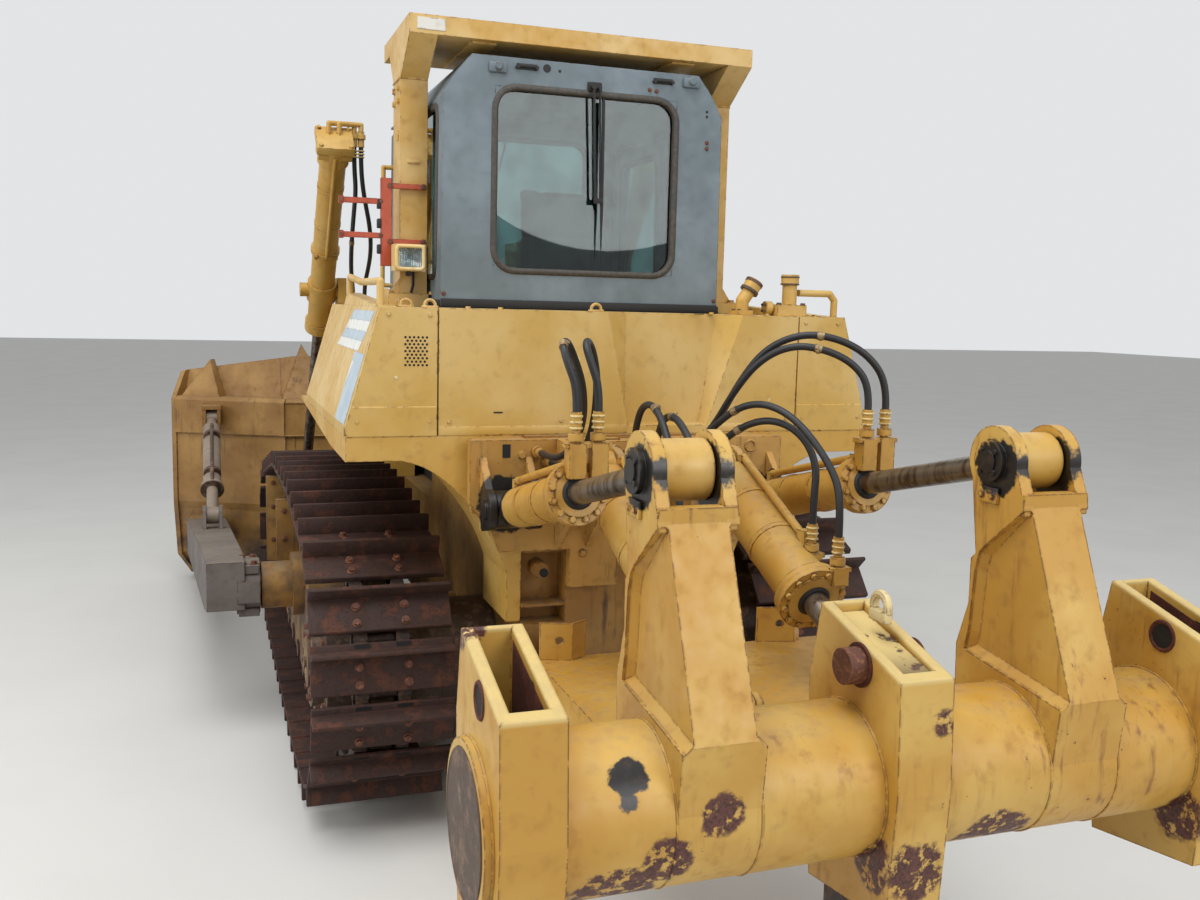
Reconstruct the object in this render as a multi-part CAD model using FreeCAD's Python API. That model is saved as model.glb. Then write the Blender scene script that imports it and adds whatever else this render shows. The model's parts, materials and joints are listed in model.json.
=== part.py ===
import FreeCAD, Part
import math
import os
from FreeCAD import Vector

# Crawler bulldozer with a cab, a two-post roll-over frame, a push-arm blade
# and a three-pocket rear ripper. Millimetres, X to the right, Y forward, Z up.
# While it is drawn the sprocket axle lies at Y = 0 and the ground at Z = 0;
# at the end everything is shifted along Y so that the origin is under the middle.

# Driving dimensions of the tracks.
GAUGE = 2100.0
SHOE_WIDTH = 610.0
SHOE_COUNT = 41
PIN_TO_TIP = 160.0
GROUSER_HEIGHT = 78.0
LINK_HALF_HEIGHT = 55.0
LINK_THICKNESS = 58.0
LINK_GAP = 124.0
SPROCKET_Z = 690.0
SPROCKET_PITCH_R = 496.0
IDLER_Y = 3240.0
IDLER_PITCH_R = 430.0
CARRIER_TABLE = [(850.0, 1280.0), (2050.0, 1262.0)]  # columns: Y, height of the pin line
CARRIER_R = 80.0
CARRIER_CLEAR = 15.0
ROLLER_R = 115.0
ROLLER_COUNT = 7
ROLLER_FIRST_Y = 640.0
ROLLER_LAST_Y = 2810.0
FRAME_HALF_WIDTH = 200.0
FIT = 0.3
MOVING_GAP = 6.0

# Driving dimensions of the hull, tank and fenders.
HULL_HALF_WIDTH = 470.0
HULL_BOTTOM = 500.0
HULL_REAR = -640.0
TANK_REAR = -600.0
TANK_FRONT = -20.0
TANK_TOP = 2335.0
TANK_BOTTOM = 1806.0
TANK_TOP_HALF = 1075.0
TANK_LOW_HALF = 1215.0
SEAM_X = 834.0
FENDER_FRONT = 1500.0
SKIRT_BOTTOM = 1705.0
FRAME_FRONT = 3120.0

# Driving dimensions of the cab and roll-over frame.
CAB_HALF = 710.0
CAB_TOP_HALF = 566.0
CAB_REAR = 20.0
CAB_LENGTH = 1480.0
CAB_FLOOR = 1900.0
CAB_TOP = 3490.0
CAB_WALL = 45.0
ROPS_HALF = 853.0
ROPS_TOP = 3640.0
ROPS_BEAM_HEIGHT = 84.0
ROPS_KNEE = 240.0
ROPS_REAR = 20.0
ROPS_FRONT = 750.0
ROPS_LEG_WIDTH = 130.0
ROPS_LEG_REAR = 260.0
ROPS_LEG_DEPTH = 200.0

# Driving dimensions of the hood.
HOOD_HALF = 520.0
HOOD_TOP = 2330.0
HOOD_REAR = 1540.0
GUARD_REAR = 2360.0
HOOD_SIDE_BOTTOM = 1560.0

# Driving dimensions of the blade and push arms.
TRUNNION_Y = 1110.0
TRUNNION_Z = 792.0
TRUNNION_R = 75.0
ARM_INNER_X = 1480.0
ARM_OUTER_X = 1755.0
ARM_SPLAY_INNER = 120.0
ARM_SPLAY_OUTER = 135.0
ARM_FRONT_LOW = 330.0
ARM_FRONT_TOP = 600.0
ARM_REAR_HALF_HEIGHT = 166.0
BRACE_LOW = (3150.0, 815.0)  # Y, Z of the lower eye
BRACE_LOW_X = 1703.0
BRACE_TOP_X = 1690.0
BLADE_HALF = 1950.0
BLADE_TOP = 1890.0
BLADE_TIP_TOP = 1745.0
BLADE_SLOPE_START = 1050.0
BLADE_BOTTOM = 30.0
BLADE_BACK = 4110.0
ARM_FRONT = BLADE_BACK + 90.0
BRACE_TOP = (BLADE_BACK + 142.0, 1400.0)  # Y, Z of the upper eye
BLADE_WING_X = 1150.0
BLADE_WING_FORWARD = 380.0
BLADE_PLATE = 30.0
LIFT_X = 1000.0
LIFT_PIVOT_Y = 2480.0
LIFT_PIVOT_Z = 2422.0
LIFT_PIN_Y = BLADE_BACK - 100.0
LIFT_PIN_Z = 770.0
LIFT_ABOVE = 1176.0
LIFT_BELOW = 330.0
LIFT_BARREL_R = 78.0
LIFT_ROD_R = 37.0

# Driving dimensions of the ripper.
BEAM_Y = -2603.0
BEAM_Z = 1073.0
BEAM_R = 214.0
BEAM_HALF = 1165.0
POCKET_X = 1058.0
POCKET_OUTER = 165.0
POCKET_SLOT = 96.0
SHANK_THICK = 90.0
TOWER_X = 565.0
TOWER_WIDTH = 231.0
EAR_THICK = 40.0
TOWER_PIN_Y = -2477.0
TOWER_PIN_Z = 1931.0
ARM_PIVOT_Y = -760.0
ARM_PIVOT_Z = 760.0
BEAM_PIVOT_Y = -2305.0
BEAM_PIVOT_Z = 985.0
TILT_PIN_Y = -800.0
TILT_PIN_Z = 1524.0
TILT_BARREL_R = 82.0
TILT_BARREL_LENGTH = 870.0
TILT_ROD_R = 40.0
RLIFT_X = 262.0
RLIFT_PIN_Y = -1000.0
RLIFT_PIN_Z = 1708.0
RLIFT_ROD_Y = -2260.0
RLIFT_ROD_Z = 1150.0
RLIFT_BARREL_R = 100.0
RLIFT_BARREL_LENGTH = 893.0
RLIFT_ROD_R = 45.0
ARM_PLATE_X = 410.0
ARM_PLATE = 56.0
RLIFT_EYE_HALF = 50.0
TILT_EYE_HALF = 78.0
TOWER_EYE_HALF = 70.0
SHANK_PIN_Y = -2652.0
SHANK_PIN_Z = 1408.0
SHANK_PIN_R = 36.0

nodes = {}
arm_pivot = (ARM_PIVOT_Y, ARM_PIVOT_Z)
beam_pivot = (BEAM_PIVOT_Y, BEAM_PIVOT_Z)


def box(x0, x1, y0, y1, z0, z1):
    return Part.makeBox(x1 - x0, y1 - y0, z1 - z0, Vector(x0, y0, z0))


def prism_x(outline, x0, x1):
    """Solid from an outline of (y, z) points, carried from x0 to x1."""
    points = [Vector(x0, y, z) for y, z in outline]
    face = Part.Face(Part.makePolygon(points + points[:1]))
    return face.extrude(Vector(x1 - x0, 0, 0))


def prism_y(outline, y0, y1):
    """Solid from an outline of (x, z) points, carried from y0 to y1."""
    points = [Vector(x, y0, z) for x, z in outline]
    face = Part.Face(Part.makePolygon(points + points[:1]))
    return face.extrude(Vector(0, y1 - y0, 0))


def prism_z(outline, z0, z1):
    """Solid from an outline of (x, y) points, carried from z0 to z1."""
    points = [Vector(x, y, z0) for x, y in outline]
    face = Part.Face(Part.makePolygon(points + points[:1]))
    return face.extrude(Vector(0, 0, z1 - z0))


def cyl(start, end, radius):
    start = Vector(*start)
    axis = Vector(*end) - start
    return Part.makeCylinder(radius, axis.Length, start, axis)


def cyl_x(y, z, radius, x0, x1):
    return cyl((x0, y, z), (x1, y, z), radius)


def fuse(shapes):
    shapes = list(shapes)
    joined = shapes[0].fuse(shapes[1:]) if len(shapes) > 1 else shapes[0]
    return joined.removeSplitter()


def mirror(shape):
    return shape.mirror(Vector(0, 0, 0), Vector(1, 0, 0))


def pair(shape):
    """The same piece on the left and on the right."""
    return [shape, mirror(shape)]


def along(start, end, distance):
    """Point (y, z) at a distance from start towards end."""
    length = math.hypot(end[0] - start[0], end[1] - start[1])
    share = distance / length
    return (start[0] + (end[0] - start[0]) * share, start[1] + (end[1] - start[1]) * share)


def keep(name, *shapes):
    solids = []
    for shape in shapes:
        solids.extend(shape.Solids)
    nodes[name] = Part.makeCompound(solids)


# a hinge: fixed pin with two lugs, and the knuckle that turns on it
HINGE_PIN_R = 9.0
HINGE_LEAF_R = 15.0
KNUCKLE = 60.0
LUG = 26.0
HINGE_OUT = HINGE_LEAF_R + MOVING_GAP
HINGE_SINK = 16.0


def hinge(y, heights, wall_x, lead, jamb):
    """Knuckles of the leaf and the fixed lugs with their pin, at each height.

    The pin stands at y, HINGE_OUT off the wall at wall_x; lead is the side along Y
    on which the fixed lugs reach their jamb, which begins at y = jamb.
    """
    x = wall_x - HINGE_OUT
    moving = []
    fixed = []
    for z in heights:
        leaf_end = y - lead * 60
        leaf = fuse([
            cyl((x, y, z), (x, y, z + KNUCKLE), HINGE_LEAF_R),
            box(x, wall_x + HINGE_SINK, min(y, leaf_end), max(y, leaf_end), z, z + KNUCKLE),
        ])
        leaf = leaf.cut(cyl((x, y, z - 5), (x, y, z + KNUCKLE + 5), HINGE_PIN_R + FIT))
        near = min(jamb - lead * MOVING_GAP, jamb + lead * 200)
        far = max(jamb - lead * MOVING_GAP, jamb + lead * 200)
        jamb_gap = box(wall_x - MOVING_GAP, wall_x + HINGE_SINK, near, far, z - 5, z + KNUCKLE + 5)
        moving.append(leaf.cut(jamb_gap))
        parts = [cyl((x, y, z - LUG), (x, y, z + KNUCKLE + LUG), HINGE_PIN_R)]
        for low in (z - LUG, z + KNUCKLE + 0.5):
            high = low + LUG - 0.5
            parts.append(cyl((x, y, low), (x, y, high), HINGE_LEAF_R))
            arm_end = y + lead * 60
            lug_arm = box(x, wall_x + HINGE_SINK, min(y, arm_end), max(y, arm_end), low, high)
            near = jamb - lead * 200
            leaf_gap = box(wall_x - MOVING_GAP, wall_x + HINGE_SINK, min(jamb, near), max(jamb, near), low - 1, high + 1)
            parts.append(lug_arm.cut(leaf_gap))
        fixed.append(fuse(parts))
    return moving, fixed


# crimped hose end standing on a port: neck, nut and sleeve, ending where the hose begins
HOSE_R = 13.5
SLEEVE_R = 19.0


def fitting(tip, direction, length):
    """Fitting of a given length that ends at tip, where the hose leaves along direction."""
    out = Vector(*direction)
    out.normalize()
    end = Vector(*tip)

    def piece(back, front, radius):
        return Part.makeCylinder(radius, back - front, end - out * back, out)

    return fuse([piece(length, 0, 15), piece(58, 0, SLEEVE_R), piece(length - 8, length - 34, 27)])


# Tracks.
LINE_Z = PIN_TO_TIP
IDLER_Z = LINE_Z + IDLER_PITCH_R
LAST_ROLL_Y = 520.0


def tangent(point, centre, radius, side):
    """Touch point on a circle of a line from point; side picks the left or right one."""
    dy = point[0] - centre[0]
    dz = point[1] - centre[1]
    distance = math.hypot(dy, dz)
    turn = side * math.acos(radius / distance)
    angle = math.atan2(dz, dy) + turn
    return (centre[0] + radius * math.cos(angle), centre[1] + radius * math.sin(angle)), angle


def pin_path():
    """Edges of the pin line as straight runs and arcs, rearward over the top."""
    sprocket = (0.0, SPROCKET_Z)
    idler = (IDLER_Y, IDLER_Z)
    bottom_rear = (LAST_ROLL_Y, LINE_Z)
    top_touch, top_angle = tangent(CARRIER_TABLE[0], sprocket, SPROCKET_PITCH_R, 1)
    low_touch, low_angle = tangent(bottom_rear, sprocket, SPROCKET_PITCH_R, -1)
    idler_touch, idler_angle = tangent(CARRIER_TABLE[-1], idler, IDLER_PITCH_R, -1)
    runs = [("line", idler_touch, CARRIER_TABLE[1])]
    runs.append(("line", CARRIER_TABLE[1], CARRIER_TABLE[0]))
    runs.append(("line", CARRIER_TABLE[0], top_touch))
    runs.append(("arc", sprocket, SPROCKET_PITCH_R, top_angle, low_angle + 2 * math.pi))
    runs.append(("line", low_touch, bottom_rear))
    runs.append(("line", bottom_rear, (IDLER_Y, LINE_Z)))
    runs.append(("arc", idler, IDLER_PITCH_R, -math.pi / 2, idler_angle))
    return runs


def run_length(run):
    if run[0] == "line":
        return math.hypot(run[2][0] - run[1][0], run[2][1] - run[1][1])
    return run[2] * (run[4] - run[3])


def path_point(runs, distance):
    for run in runs:
        length = run_length(run)
        if distance <= length:
            if run[0] == "line":
                return along(run[1], run[2], distance)
            angle = run[3] + distance / run[2]
            return (run[1][0] + run[2] * math.cos(angle), run[1][1] + run[2] * math.sin(angle))
        distance -= length
    return path_point(runs, 0.0)


def link_frames():
    """Origin, direction and outward normal of each link of the closed chain."""
    runs = pin_path()
    total = sum(run_length(run) for run in runs)
    pins = [path_point(runs, total * i / SHOE_COUNT) for i in range(SHOE_COUNT)]
    frames = []
    for i, pin in enumerate(pins):
        after = pins[(i + 1) % SHOE_COUNT]
        length = math.hypot(after[0] - pin[0], after[1] - pin[1])
        ty, tz = (after[0] - pin[0]) / length, (after[1] - pin[1]) / length
        frames.append((pin, (ty, tz), (tz, -ty), length))
    return frames


# shoe profile, columns: share along the link, height above the pin line
PLATE_IN = LINK_HALF_HEIGHT
PLATE_OUT = PIN_TO_TIP - GROUSER_HEIGHT
SHOE_PROFILE = [
    (0.025, PLATE_IN + 10), (0.025, PLATE_OUT + 2), (0.165, PLATE_OUT + 2), (0.195, PIN_TO_TIP),
    (0.27, PIN_TO_TIP), (0.305, PLATE_OUT), (0.965, PLATE_OUT - 4), (0.965, PLATE_IN + 10),
]
frames = link_frames()


def chain_outline(profile):
    outline = []
    for (py, pz), (ty, tz), (ny, nz), length in frames:
        for share, height in profile:
            s = share * length
            outline.append((py + ty * s + ny * height, pz + tz * s + nz * height))
    return outline


def offset_outline(height):
    """Closed outline parallel to the pin line, straight along every link."""
    outline = []
    for i, (pin, _, normal, _) in enumerate(frames):
        before = frames[i - 1][2]
        ny, nz = normal[0] + before[0], normal[1] + before[1]
        scale = 2 * height / (ny * ny + nz * nz)
        outline.append((pin[0] + ny * scale, pin[1] + nz * scale))
    return outline


def ring(outer, inner, x0, x1):
    return prism_x(outer, x0, x1).cut(prism_x(inner, x0 - 5, x1 + 5))


shoe_outer = chain_outline(SHOE_PROFILE)
shoe_inner = offset_outline(PLATE_IN)
link_inner = offset_outline(-LINK_HALF_HEIGHT)
half_gauge = GAUGE / 2
half_shoe = SHOE_WIDTH / 2
shoes = ring(shoe_outer, shoe_inner, half_gauge - half_shoe, half_gauge + half_shoe)
rails = []
for side in (-1, 1):
    x_near = half_gauge + side * LINK_GAP / 2
    x_far = x_near + side * LINK_THICKNESS
    rails.append(ring(shoe_inner, link_inner, min(x_near, x_far), max(x_near, x_far)))
track = fuse([shoes] + rails)
keep("track_right", track)
keep("track_left", mirror(track))

# sprockets: toothed ring, dished disc and the final drive's hub
half_link = math.asin(0.5 * frames[SHOE_COUNT // 2][3] / SPROCKET_PITCH_R)
tooth_outline = []
TOOTH_COUNT = 27
SPROCKET_ROOT_R = 452.0
SPROCKET_TIP_R = 520.0
for k in range(TOOTH_COUNT):
    for share, radius in ((-0.30, SPROCKET_ROOT_R), (-0.12, SPROCKET_TIP_R), (0.12, SPROCKET_TIP_R), (0.30, SPROCKET_ROOT_R)):
        angle = 2 * math.pi * (k + share) / TOOTH_COUNT
        tooth_outline.append((radius * math.cos(angle), SPROCKET_Z + radius * math.sin(angle)))
tooth_half = LINK_GAP / 2 - 12
sprocket = fuse([
    prism_x(tooth_outline, half_gauge - tooth_half, half_gauge + tooth_half),
    cyl_x(0, SPROCKET_Z, 300, half_gauge - 150, half_gauge + 210),
    cyl_x(0, SPROCKET_Z, 205, half_gauge + 210, half_gauge + 262),
])
final_drive = fuse([
    cyl_x(0, SPROCKET_Z, 330, half_gauge - 290, half_gauge - 150),
    cyl_x(0, SPROCKET_Z, 260, HULL_HALF_WIDTH, half_gauge - 290),
])
keep("sprockets", *(pair(sprocket) + pair(final_drive)))

# idlers, rollers and carrier rollers turn on pins held by the track frame
IDLER_TREAD_R = IDLER_PITCH_R * math.cos(half_link * SPROCKET_PITCH_R / IDLER_PITCH_R) - LINK_HALF_HEIGHT - 1.0
idler = fuse([
    cyl_x(IDLER_Y, IDLER_Z, IDLER_TREAD_R, half_gauge - 115, half_gauge + 115),
    cyl_x(IDLER_Y, IDLER_Z, IDLER_TREAD_R + 22, half_gauge - 50, half_gauge + 50),
    cyl_x(IDLER_Y, IDLER_Z, 70, half_gauge - FRAME_HALF_WIDTH + 30, half_gauge + FRAME_HALF_WIDTH - 30),
])
keep("idlers", *pair(idler))
ROLLER_Z = LINE_Z + LINK_HALF_HEIGHT + ROLLER_R + 0.5
roller_pitch = (ROLLER_LAST_Y - ROLLER_FIRST_Y) / (ROLLER_COUNT - 1)
rollers = []
for k in range(ROLLER_COUNT):
    y = ROLLER_FIRST_Y + k * roller_pitch
    rollers.append(fuse([
        cyl_x(y, ROLLER_Z, ROLLER_R, half_gauge - 122, half_gauge + 122),
        cyl_x(y, ROLLER_Z, 55, half_gauge - FRAME_HALF_WIDTH + 30, half_gauge + FRAME_HALF_WIDTH - 30),
    ]))
for y, pin_z in CARRIER_TABLE:
    z = pin_z - LINK_HALF_HEIGHT - CARRIER_R - CARRIER_CLEAR
    rollers.append(fuse([
        cyl_x(y, z, CARRIER_R, half_gauge - 122, half_gauge + 122),
        cyl_x(y, z, 45, half_gauge - 150, half_gauge + 122),
    ]))
keep("track_rollers", *[s for r in rollers for s in pair(r)])

# track frames: an inverted channel over the rollers, idler yoke arms and carrier posts
FRAME_TOP = 860.0
FRAME_LOW = 285.0
plates = []
for side in (-1, 1):
    x_out = half_gauge + side * FRAME_HALF_WIDTH
    x_in = half_gauge + side * (FRAME_HALF_WIDTH - 30)
    outline = [
        (390, 330), (430, FRAME_LOW), (IDLER_Y - 280, FRAME_LOW), (IDLER_Y - 250, 420), (IDLER_Y + 110, IDLER_Z - 70),
        (IDLER_Y + 110, IDLER_Z + 75), (IDLER_Y - 300, IDLER_Z + 100), (IDLER_Y - 540, FRAME_TOP), (560, FRAME_TOP), (600, 620),
    ]
    plates.append(prism_x(outline, min(x_out, x_in), max(x_out, x_in)))
plates.append(box(half_gauge - 170, half_gauge + 170, 640, 2690, 520, FRAME_TOP))
for y, pin_z in CARRIER_TABLE:
    z = pin_z - LINK_HALF_HEIGHT - CARRIER_R - CARRIER_CLEAR
    plates.append(prism_x([(y - 90, FRAME_TOP), (y + 90, FRAME_TOP), (y + 50, z + 50), (y - 50, z + 50)],
                          half_gauge - 200, half_gauge - 150))
# outer guard plates: two upright ones between the runs of the chain, columns: Y, lowest and highest Z
GUARD_PLATES = [(1350.0, 700.0, 1225.0), (2400.0, 640.0, 1200.0)]
for y, low, high in GUARD_PLATES:
    plates.append(box(half_gauge + FRAME_HALF_WIDTH, half_gauge + half_shoe + 18, y - 20, y + 20, low, high))
    plates.append(prism_x([(y + 20, low), (y + 20, high - 60), (y + 180, low)],
                          half_gauge + FRAME_HALF_WIDTH + 30, half_gauge + FRAME_HALF_WIDTH + 55))
# recoil cover on the front half of the frame, and roller guards along its foot
plates.append(prism_x([(1900, FRAME_TOP), (1960, FRAME_TOP + 70), (2560, FRAME_TOP + 70), (2690, FRAME_TOP)],
                      half_gauge - 150, half_gauge + 150))
track_frame = fuse(plates)
trunnion = cyl_x(TRUNNION_Y, TRUNNION_Z, TRUNNION_R, half_gauge + FRAME_HALF_WIDTH, ARM_INNER_X + 150)
pedestal = fuse([
    cyl_x(TRUNNION_Y, TRUNNION_Z, 128, half_gauge + FRAME_HALF_WIDTH, ARM_INNER_X - 8),
    cyl_x(TRUNNION_Y, TRUNNION_Z, 175, half_gauge + FRAME_HALF_WIDTH, half_gauge + FRAME_HALF_WIDTH + 60),
])
track_frame = track_frame.cut(cyl_x(IDLER_Y, IDLER_Z, 70 + FIT, half_gauge - 150, half_gauge + 150))
track_frame = fuse([track_frame, pedestal, trunnion])
keep("track_frames", *pair(track_frame))

# cross tubes carry the hull on both track frames
cross = []
for y, z, r in ((740.0, 690.0, 95.0), (2300.0, 640.0, 120.0)):
    cross.append(cyl_x(y, z, r, HULL_HALF_WIDTH, half_gauge - FRAME_HALF_WIDTH))

# Hull.
hull = fuse([
    prism_x([(HULL_REAR, 640), (-420, HULL_BOTTOM), (2900, HULL_BOTTOM), (FRAME_FRONT, 620),
             (FRAME_FRONT, 1180), (1500, 1180), (1500, 1240), (HULL_REAR, 1300)], -HULL_HALF_WIDTH, HULL_HALF_WIDTH),
    box(-HULL_HALF_WIDTH, HULL_HALF_WIDTH, HULL_REAR, 1400, 1240, TANK_BOTTOM),
])
# recess in the rear wall on each side of the middle, with a boss and a shelf
RECESS_INNER = 279.0
RECESS_DEPTH = 110.0
recess = box(RECESS_INNER, HULL_HALF_WIDTH + 1, HULL_REAR - 1, HULL_REAR + RECESS_DEPTH, 985, 1300)
recess_fill = [
    cyl((385, HULL_REAR + RECESS_DEPTH + 1, 1215), (385, HULL_REAR + 20, 1215), 36),
    box(RECESS_INNER - 1, HULL_HALF_WIDTH, HULL_REAR + 10, HULL_REAR + RECESS_DEPTH + 1, 1056, 1070),
]
for cut, fill in ((recess, recess_fill), (mirror(recess), [mirror(f) for f in recess_fill])):
    hull = fuse([hull.cut(cut)] + fill)
# mounting ears of the ripper: two low ones for the arm, four high ones for the cylinders
ears = []
EAR_PLATE = 30.0
PLATE_REAR = HULL_REAR - 50
for x in (ARM_PLATE_X - ARM_PLATE / 2 - MOVING_GAP - EAR_PLATE, ARM_PLATE_X + ARM_PLATE / 2 + MOVING_GAP):
    ears.append(fuse([
        prism_x([(HULL_REAR, ARM_PIVOT_Z - 190), (ARM_PIVOT_Y, ARM_PIVOT_Z - 95), (ARM_PIVOT_Y, ARM_PIVOT_Z + 95),
                 (HULL_REAR, ARM_PIVOT_Z + 190)], x, x + EAR_PLATE),
        cyl_x(*arm_pivot, 95, x, x + EAR_PLATE),
    ]))
for x in (RLIFT_X - RLIFT_EYE_HALF - 5 - EAR_PLATE, RLIFT_X + RLIFT_EYE_HALF + 5):
    ears.append(fuse([
        prism_x([(PLATE_REAR, RLIFT_PIN_Z - 380), (RLIFT_PIN_Y, RLIFT_PIN_Z - 85), (RLIFT_PIN_Y, RLIFT_PIN_Z + 85),
                 (PLATE_REAR, RLIFT_PIN_Z + 90)], x, x + EAR_PLATE),
        cyl_x(RLIFT_PIN_Y, RLIFT_PIN_Z, 85, x, x + EAR_PLATE),
    ]))
for x in (TOWER_X - TILT_EYE_HALF - 5 - EAR_PLATE, TOWER_X + TILT_EYE_HALF + 5):
    ears.append(fuse([
        prism_x([(PLATE_REAR, TILT_PIN_Z - 110), (TILT_PIN_Y, TILT_PIN_Z - 85), (TILT_PIN_Y, TILT_PIN_Z + 85),
                 (PLATE_REAR, TILT_PIN_Z + 200)], x, x + EAR_PLATE),
        cyl_x(TILT_PIN_Y, TILT_PIN_Z, 85, x, x + EAR_PLATE),
    ]))
PLATE_TOP = TANK_BOTTOM - 10
plate_outline = [(60, 1320), (590, 1320), (640, 1440), (720, 1530), (720, PLATE_TOP), (60, PLATE_TOP)]
base_plates = [
    prism_y(plate_outline, PLATE_REAR, HULL_REAR),
    box(60, RECESS_INNER, PLATE_REAR, HULL_REAR, 1150, 1320),
    box(HULL_HALF_WIDTH, 700, HULL_REAR, TANK_REAR, 1480, PLATE_TOP),
]
pins = [
    cyl_x(*arm_pivot, 45, ARM_PLATE_X - 80, ARM_PLATE_X + 80),
    cyl_x(RLIFT_PIN_Y, RLIFT_PIN_Z, 40, RLIFT_X - RLIFT_EYE_HALF - 45, RLIFT_X + RLIFT_EYE_HALF + 45),
    cyl_x(TILT_PIN_Y, TILT_PIN_Z, 40, TOWER_X - TILT_EYE_HALF - 45, TOWER_X + TILT_EYE_HALF + 45),
]
ripper_mount = fuse(ears + pins + base_plates)
# cross tubes carry the hull on the track frames
keep("hull", fuse([hull] + [s for c in cross for s in pair(c)]))
# manifold for the ripper hoses between the lift ears, and two ports by the left tilt ears
MANIFOLD_REAR = -735.0
hose_ports = [box(-170, 170, MANIFOLD_REAR, HULL_REAR, 1640, 1790)]
for x, z in ((100, 1750), (140, 1760), (60, 1680), (16, 1740), (-104, 1750), (-60, 1690)):
    hose_ports.append(fitting((x, -790, z), (0, -1, 0), 62))
for x, z in ((-430, 1745), (-386, 1705)):
    hose_ports.append(fitting((x, -750, z), (0, -1, 0), 65))
keep("ripper_mounts", fuse(pair(ripper_mount) + hose_ports))

# engine: one plain block inside the hood
keep("engine", box(-330, 330, 1640, 2780, 1180, 1980))

# radiator guard and front grille
GUARD_FRONT = FRAME_FRONT + 40
guard = fuse([box(-620, 620, GUARD_REAR, GUARD_FRONT, 1180, HOOD_TOP)]).cut(box(-470, 470, 2860, GUARD_FRONT + 10, 1260, 2200)).cut(box(-400, 400, GUARD_REAR - 10, 2800, 1170, 2100))
bars = [box(-470, 470, 3080, 3100, 1265 + 78 * k, 1290 + 78 * k) for k in range(12)]
keep("front_grille", fuse([box(-14, 14, 3060, 3110, 1260, 2200)] + bars))

# hood top and engine side doors
hood = prism_y([(-HOOD_HALF, HOOD_TOP - 90), (-HOOD_HALF + 90, HOOD_TOP), (HOOD_HALF - 90, HOOD_TOP),
                (HOOD_HALF, HOOD_TOP - 90), (HOOD_HALF, HOOD_TOP - 130), (-HOOD_HALF, HOOD_TOP - 130)], HOOD_REAR, GUARD_REAR)
keep("hood", hood)
door = box(-HOOD_HALF, -HOOD_HALF + 30, HOOD_REAR + 20, GUARD_REAR - MOVING_GAP, HOOD_SIDE_BOTTOM, HOOD_TOP - 136)
knuckles, hinge_parts = hinge(GUARD_REAR - 21, (1700.0, 2080.0), -HOOD_HALF, 1, GUARD_REAR)
door = fuse([door] + knuckles)
guard = fuse([guard] + hinge_parts + [mirror(h) for h in hinge_parts])
keep("radiator_guard", guard)
keep("engine_door_left", door)
keep("engine_door_right", mirror(door))

# exhaust stack and intake bowl on the hood
exhaust = fuse([cyl((-210, 2050, HOOD_TOP), (-210, 2050, 2820), 62), cyl((-210, 2050, HOOD_TOP), (-210, 2050, HOOD_TOP + 40), 110)])
intake = fuse([cyl((230, 1850, HOOD_TOP), (230, 1850, 2600), 75), cyl((230, 1850, 2600), (230, 1850, 2740), 150)])
keep("exhaust_stack", exhaust)
keep("air_intake", intake)

# Rear tank box and fenders.
tank_outline = [(-SEAM_X, TANK_BOTTOM), (SEAM_X, TANK_BOTTOM), (SEAM_X, TANK_TOP), (-SEAM_X, TANK_TOP)]
tank = prism_y(tank_outline, TANK_REAR, TANK_FRONT)
FUNNEL_DEPTH = 70.0
funnel = Part.makeLoft([
    Part.makePolygon([Vector(x, TANK_REAR - 1, z) for x, z in ((-99, TANK_TOP + 5), (555, TANK_TOP + 5), (387, 1841), (9, 1841), (-99, TANK_TOP + 5))]),
    Part.makePolygon([Vector(x, TANK_REAR + FUNNEL_DEPTH, z) for x, z in ((10, TANK_TOP + 5), (446, TANK_TOP + 5), (380, 1845), (16, 1845), (10, TANK_TOP + 5))]),
], True, True)
keep("rear_tank", tank.cut(funnel))
SIDE_GAP = MOVING_GAP
corner_out = [(-SEAM_X - SIDE_GAP, TANK_BOTTOM), (-SEAM_X - SIDE_GAP, TANK_TOP), (-TANK_TOP_HALF, TANK_TOP), (-TANK_LOW_HALF, TANK_BOTTOM + 40), (-TANK_LOW_HALF + 10, TANK_BOTTOM)]
DOOR_THICK = 40.0
rear_door = prism_y(corner_out, TANK_REAR, TANK_REAR + DOOR_THICK)
keep("rear_doors", *pair(rear_door))
box_rear = TANK_REAR + DOOR_THICK + MOVING_GAP
side_box = prism_y([
    (-CAB_HALF - 130, TANK_BOTTOM), (-CAB_HALF - 130, TANK_TOP), (-TANK_TOP_HALF, TANK_TOP),
    (-TANK_LOW_HALF, TANK_BOTTOM + 40), (-TANK_LOW_HALF, TANK_BOTTOM),
], box_rear, 1150)
# the outer rim rises towards the front, and stops where the open door swings
RIM_RISE = 62.0
RIM_FRONT = CAB_REAR + 610.0
box_slope = (TANK_LOW_HALF - TANK_TOP_HALF) / (TANK_TOP - TANK_BOTTOM - 40)
rim = prism_y([
    (-TANK_TOP_HALF, TANK_TOP - 10), (-TANK_TOP_HALF + box_slope * RIM_RISE, TANK_TOP + RIM_RISE),
    (-TANK_TOP_HALF + 80, TANK_TOP + RIM_RISE), (-TANK_TOP_HALF + 80, TANK_TOP - 10),
], box_rear, RIM_FRONT)
rim = rim.common(prism_x([
    (box_rear, TANK_TOP - 10), (box_rear, TANK_TOP), (RIM_FRONT, TANK_TOP + RIM_RISE), (RIM_FRONT, TANK_TOP - 10),
], -TANK_TOP_HALF - 10, -TANK_TOP_HALF + 100))
# columns: X inboard of the box's top edge, Y, height above the box
RAIL = [
    (25.0, -440.0, -5.0), (25.0, -440.0, 105.0), (25.0, 150.0, 108.0), (25.0, 560.0, 138.0), (25.0, 560.0, 40.0),
]
RAIL_R = 16.0


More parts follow.
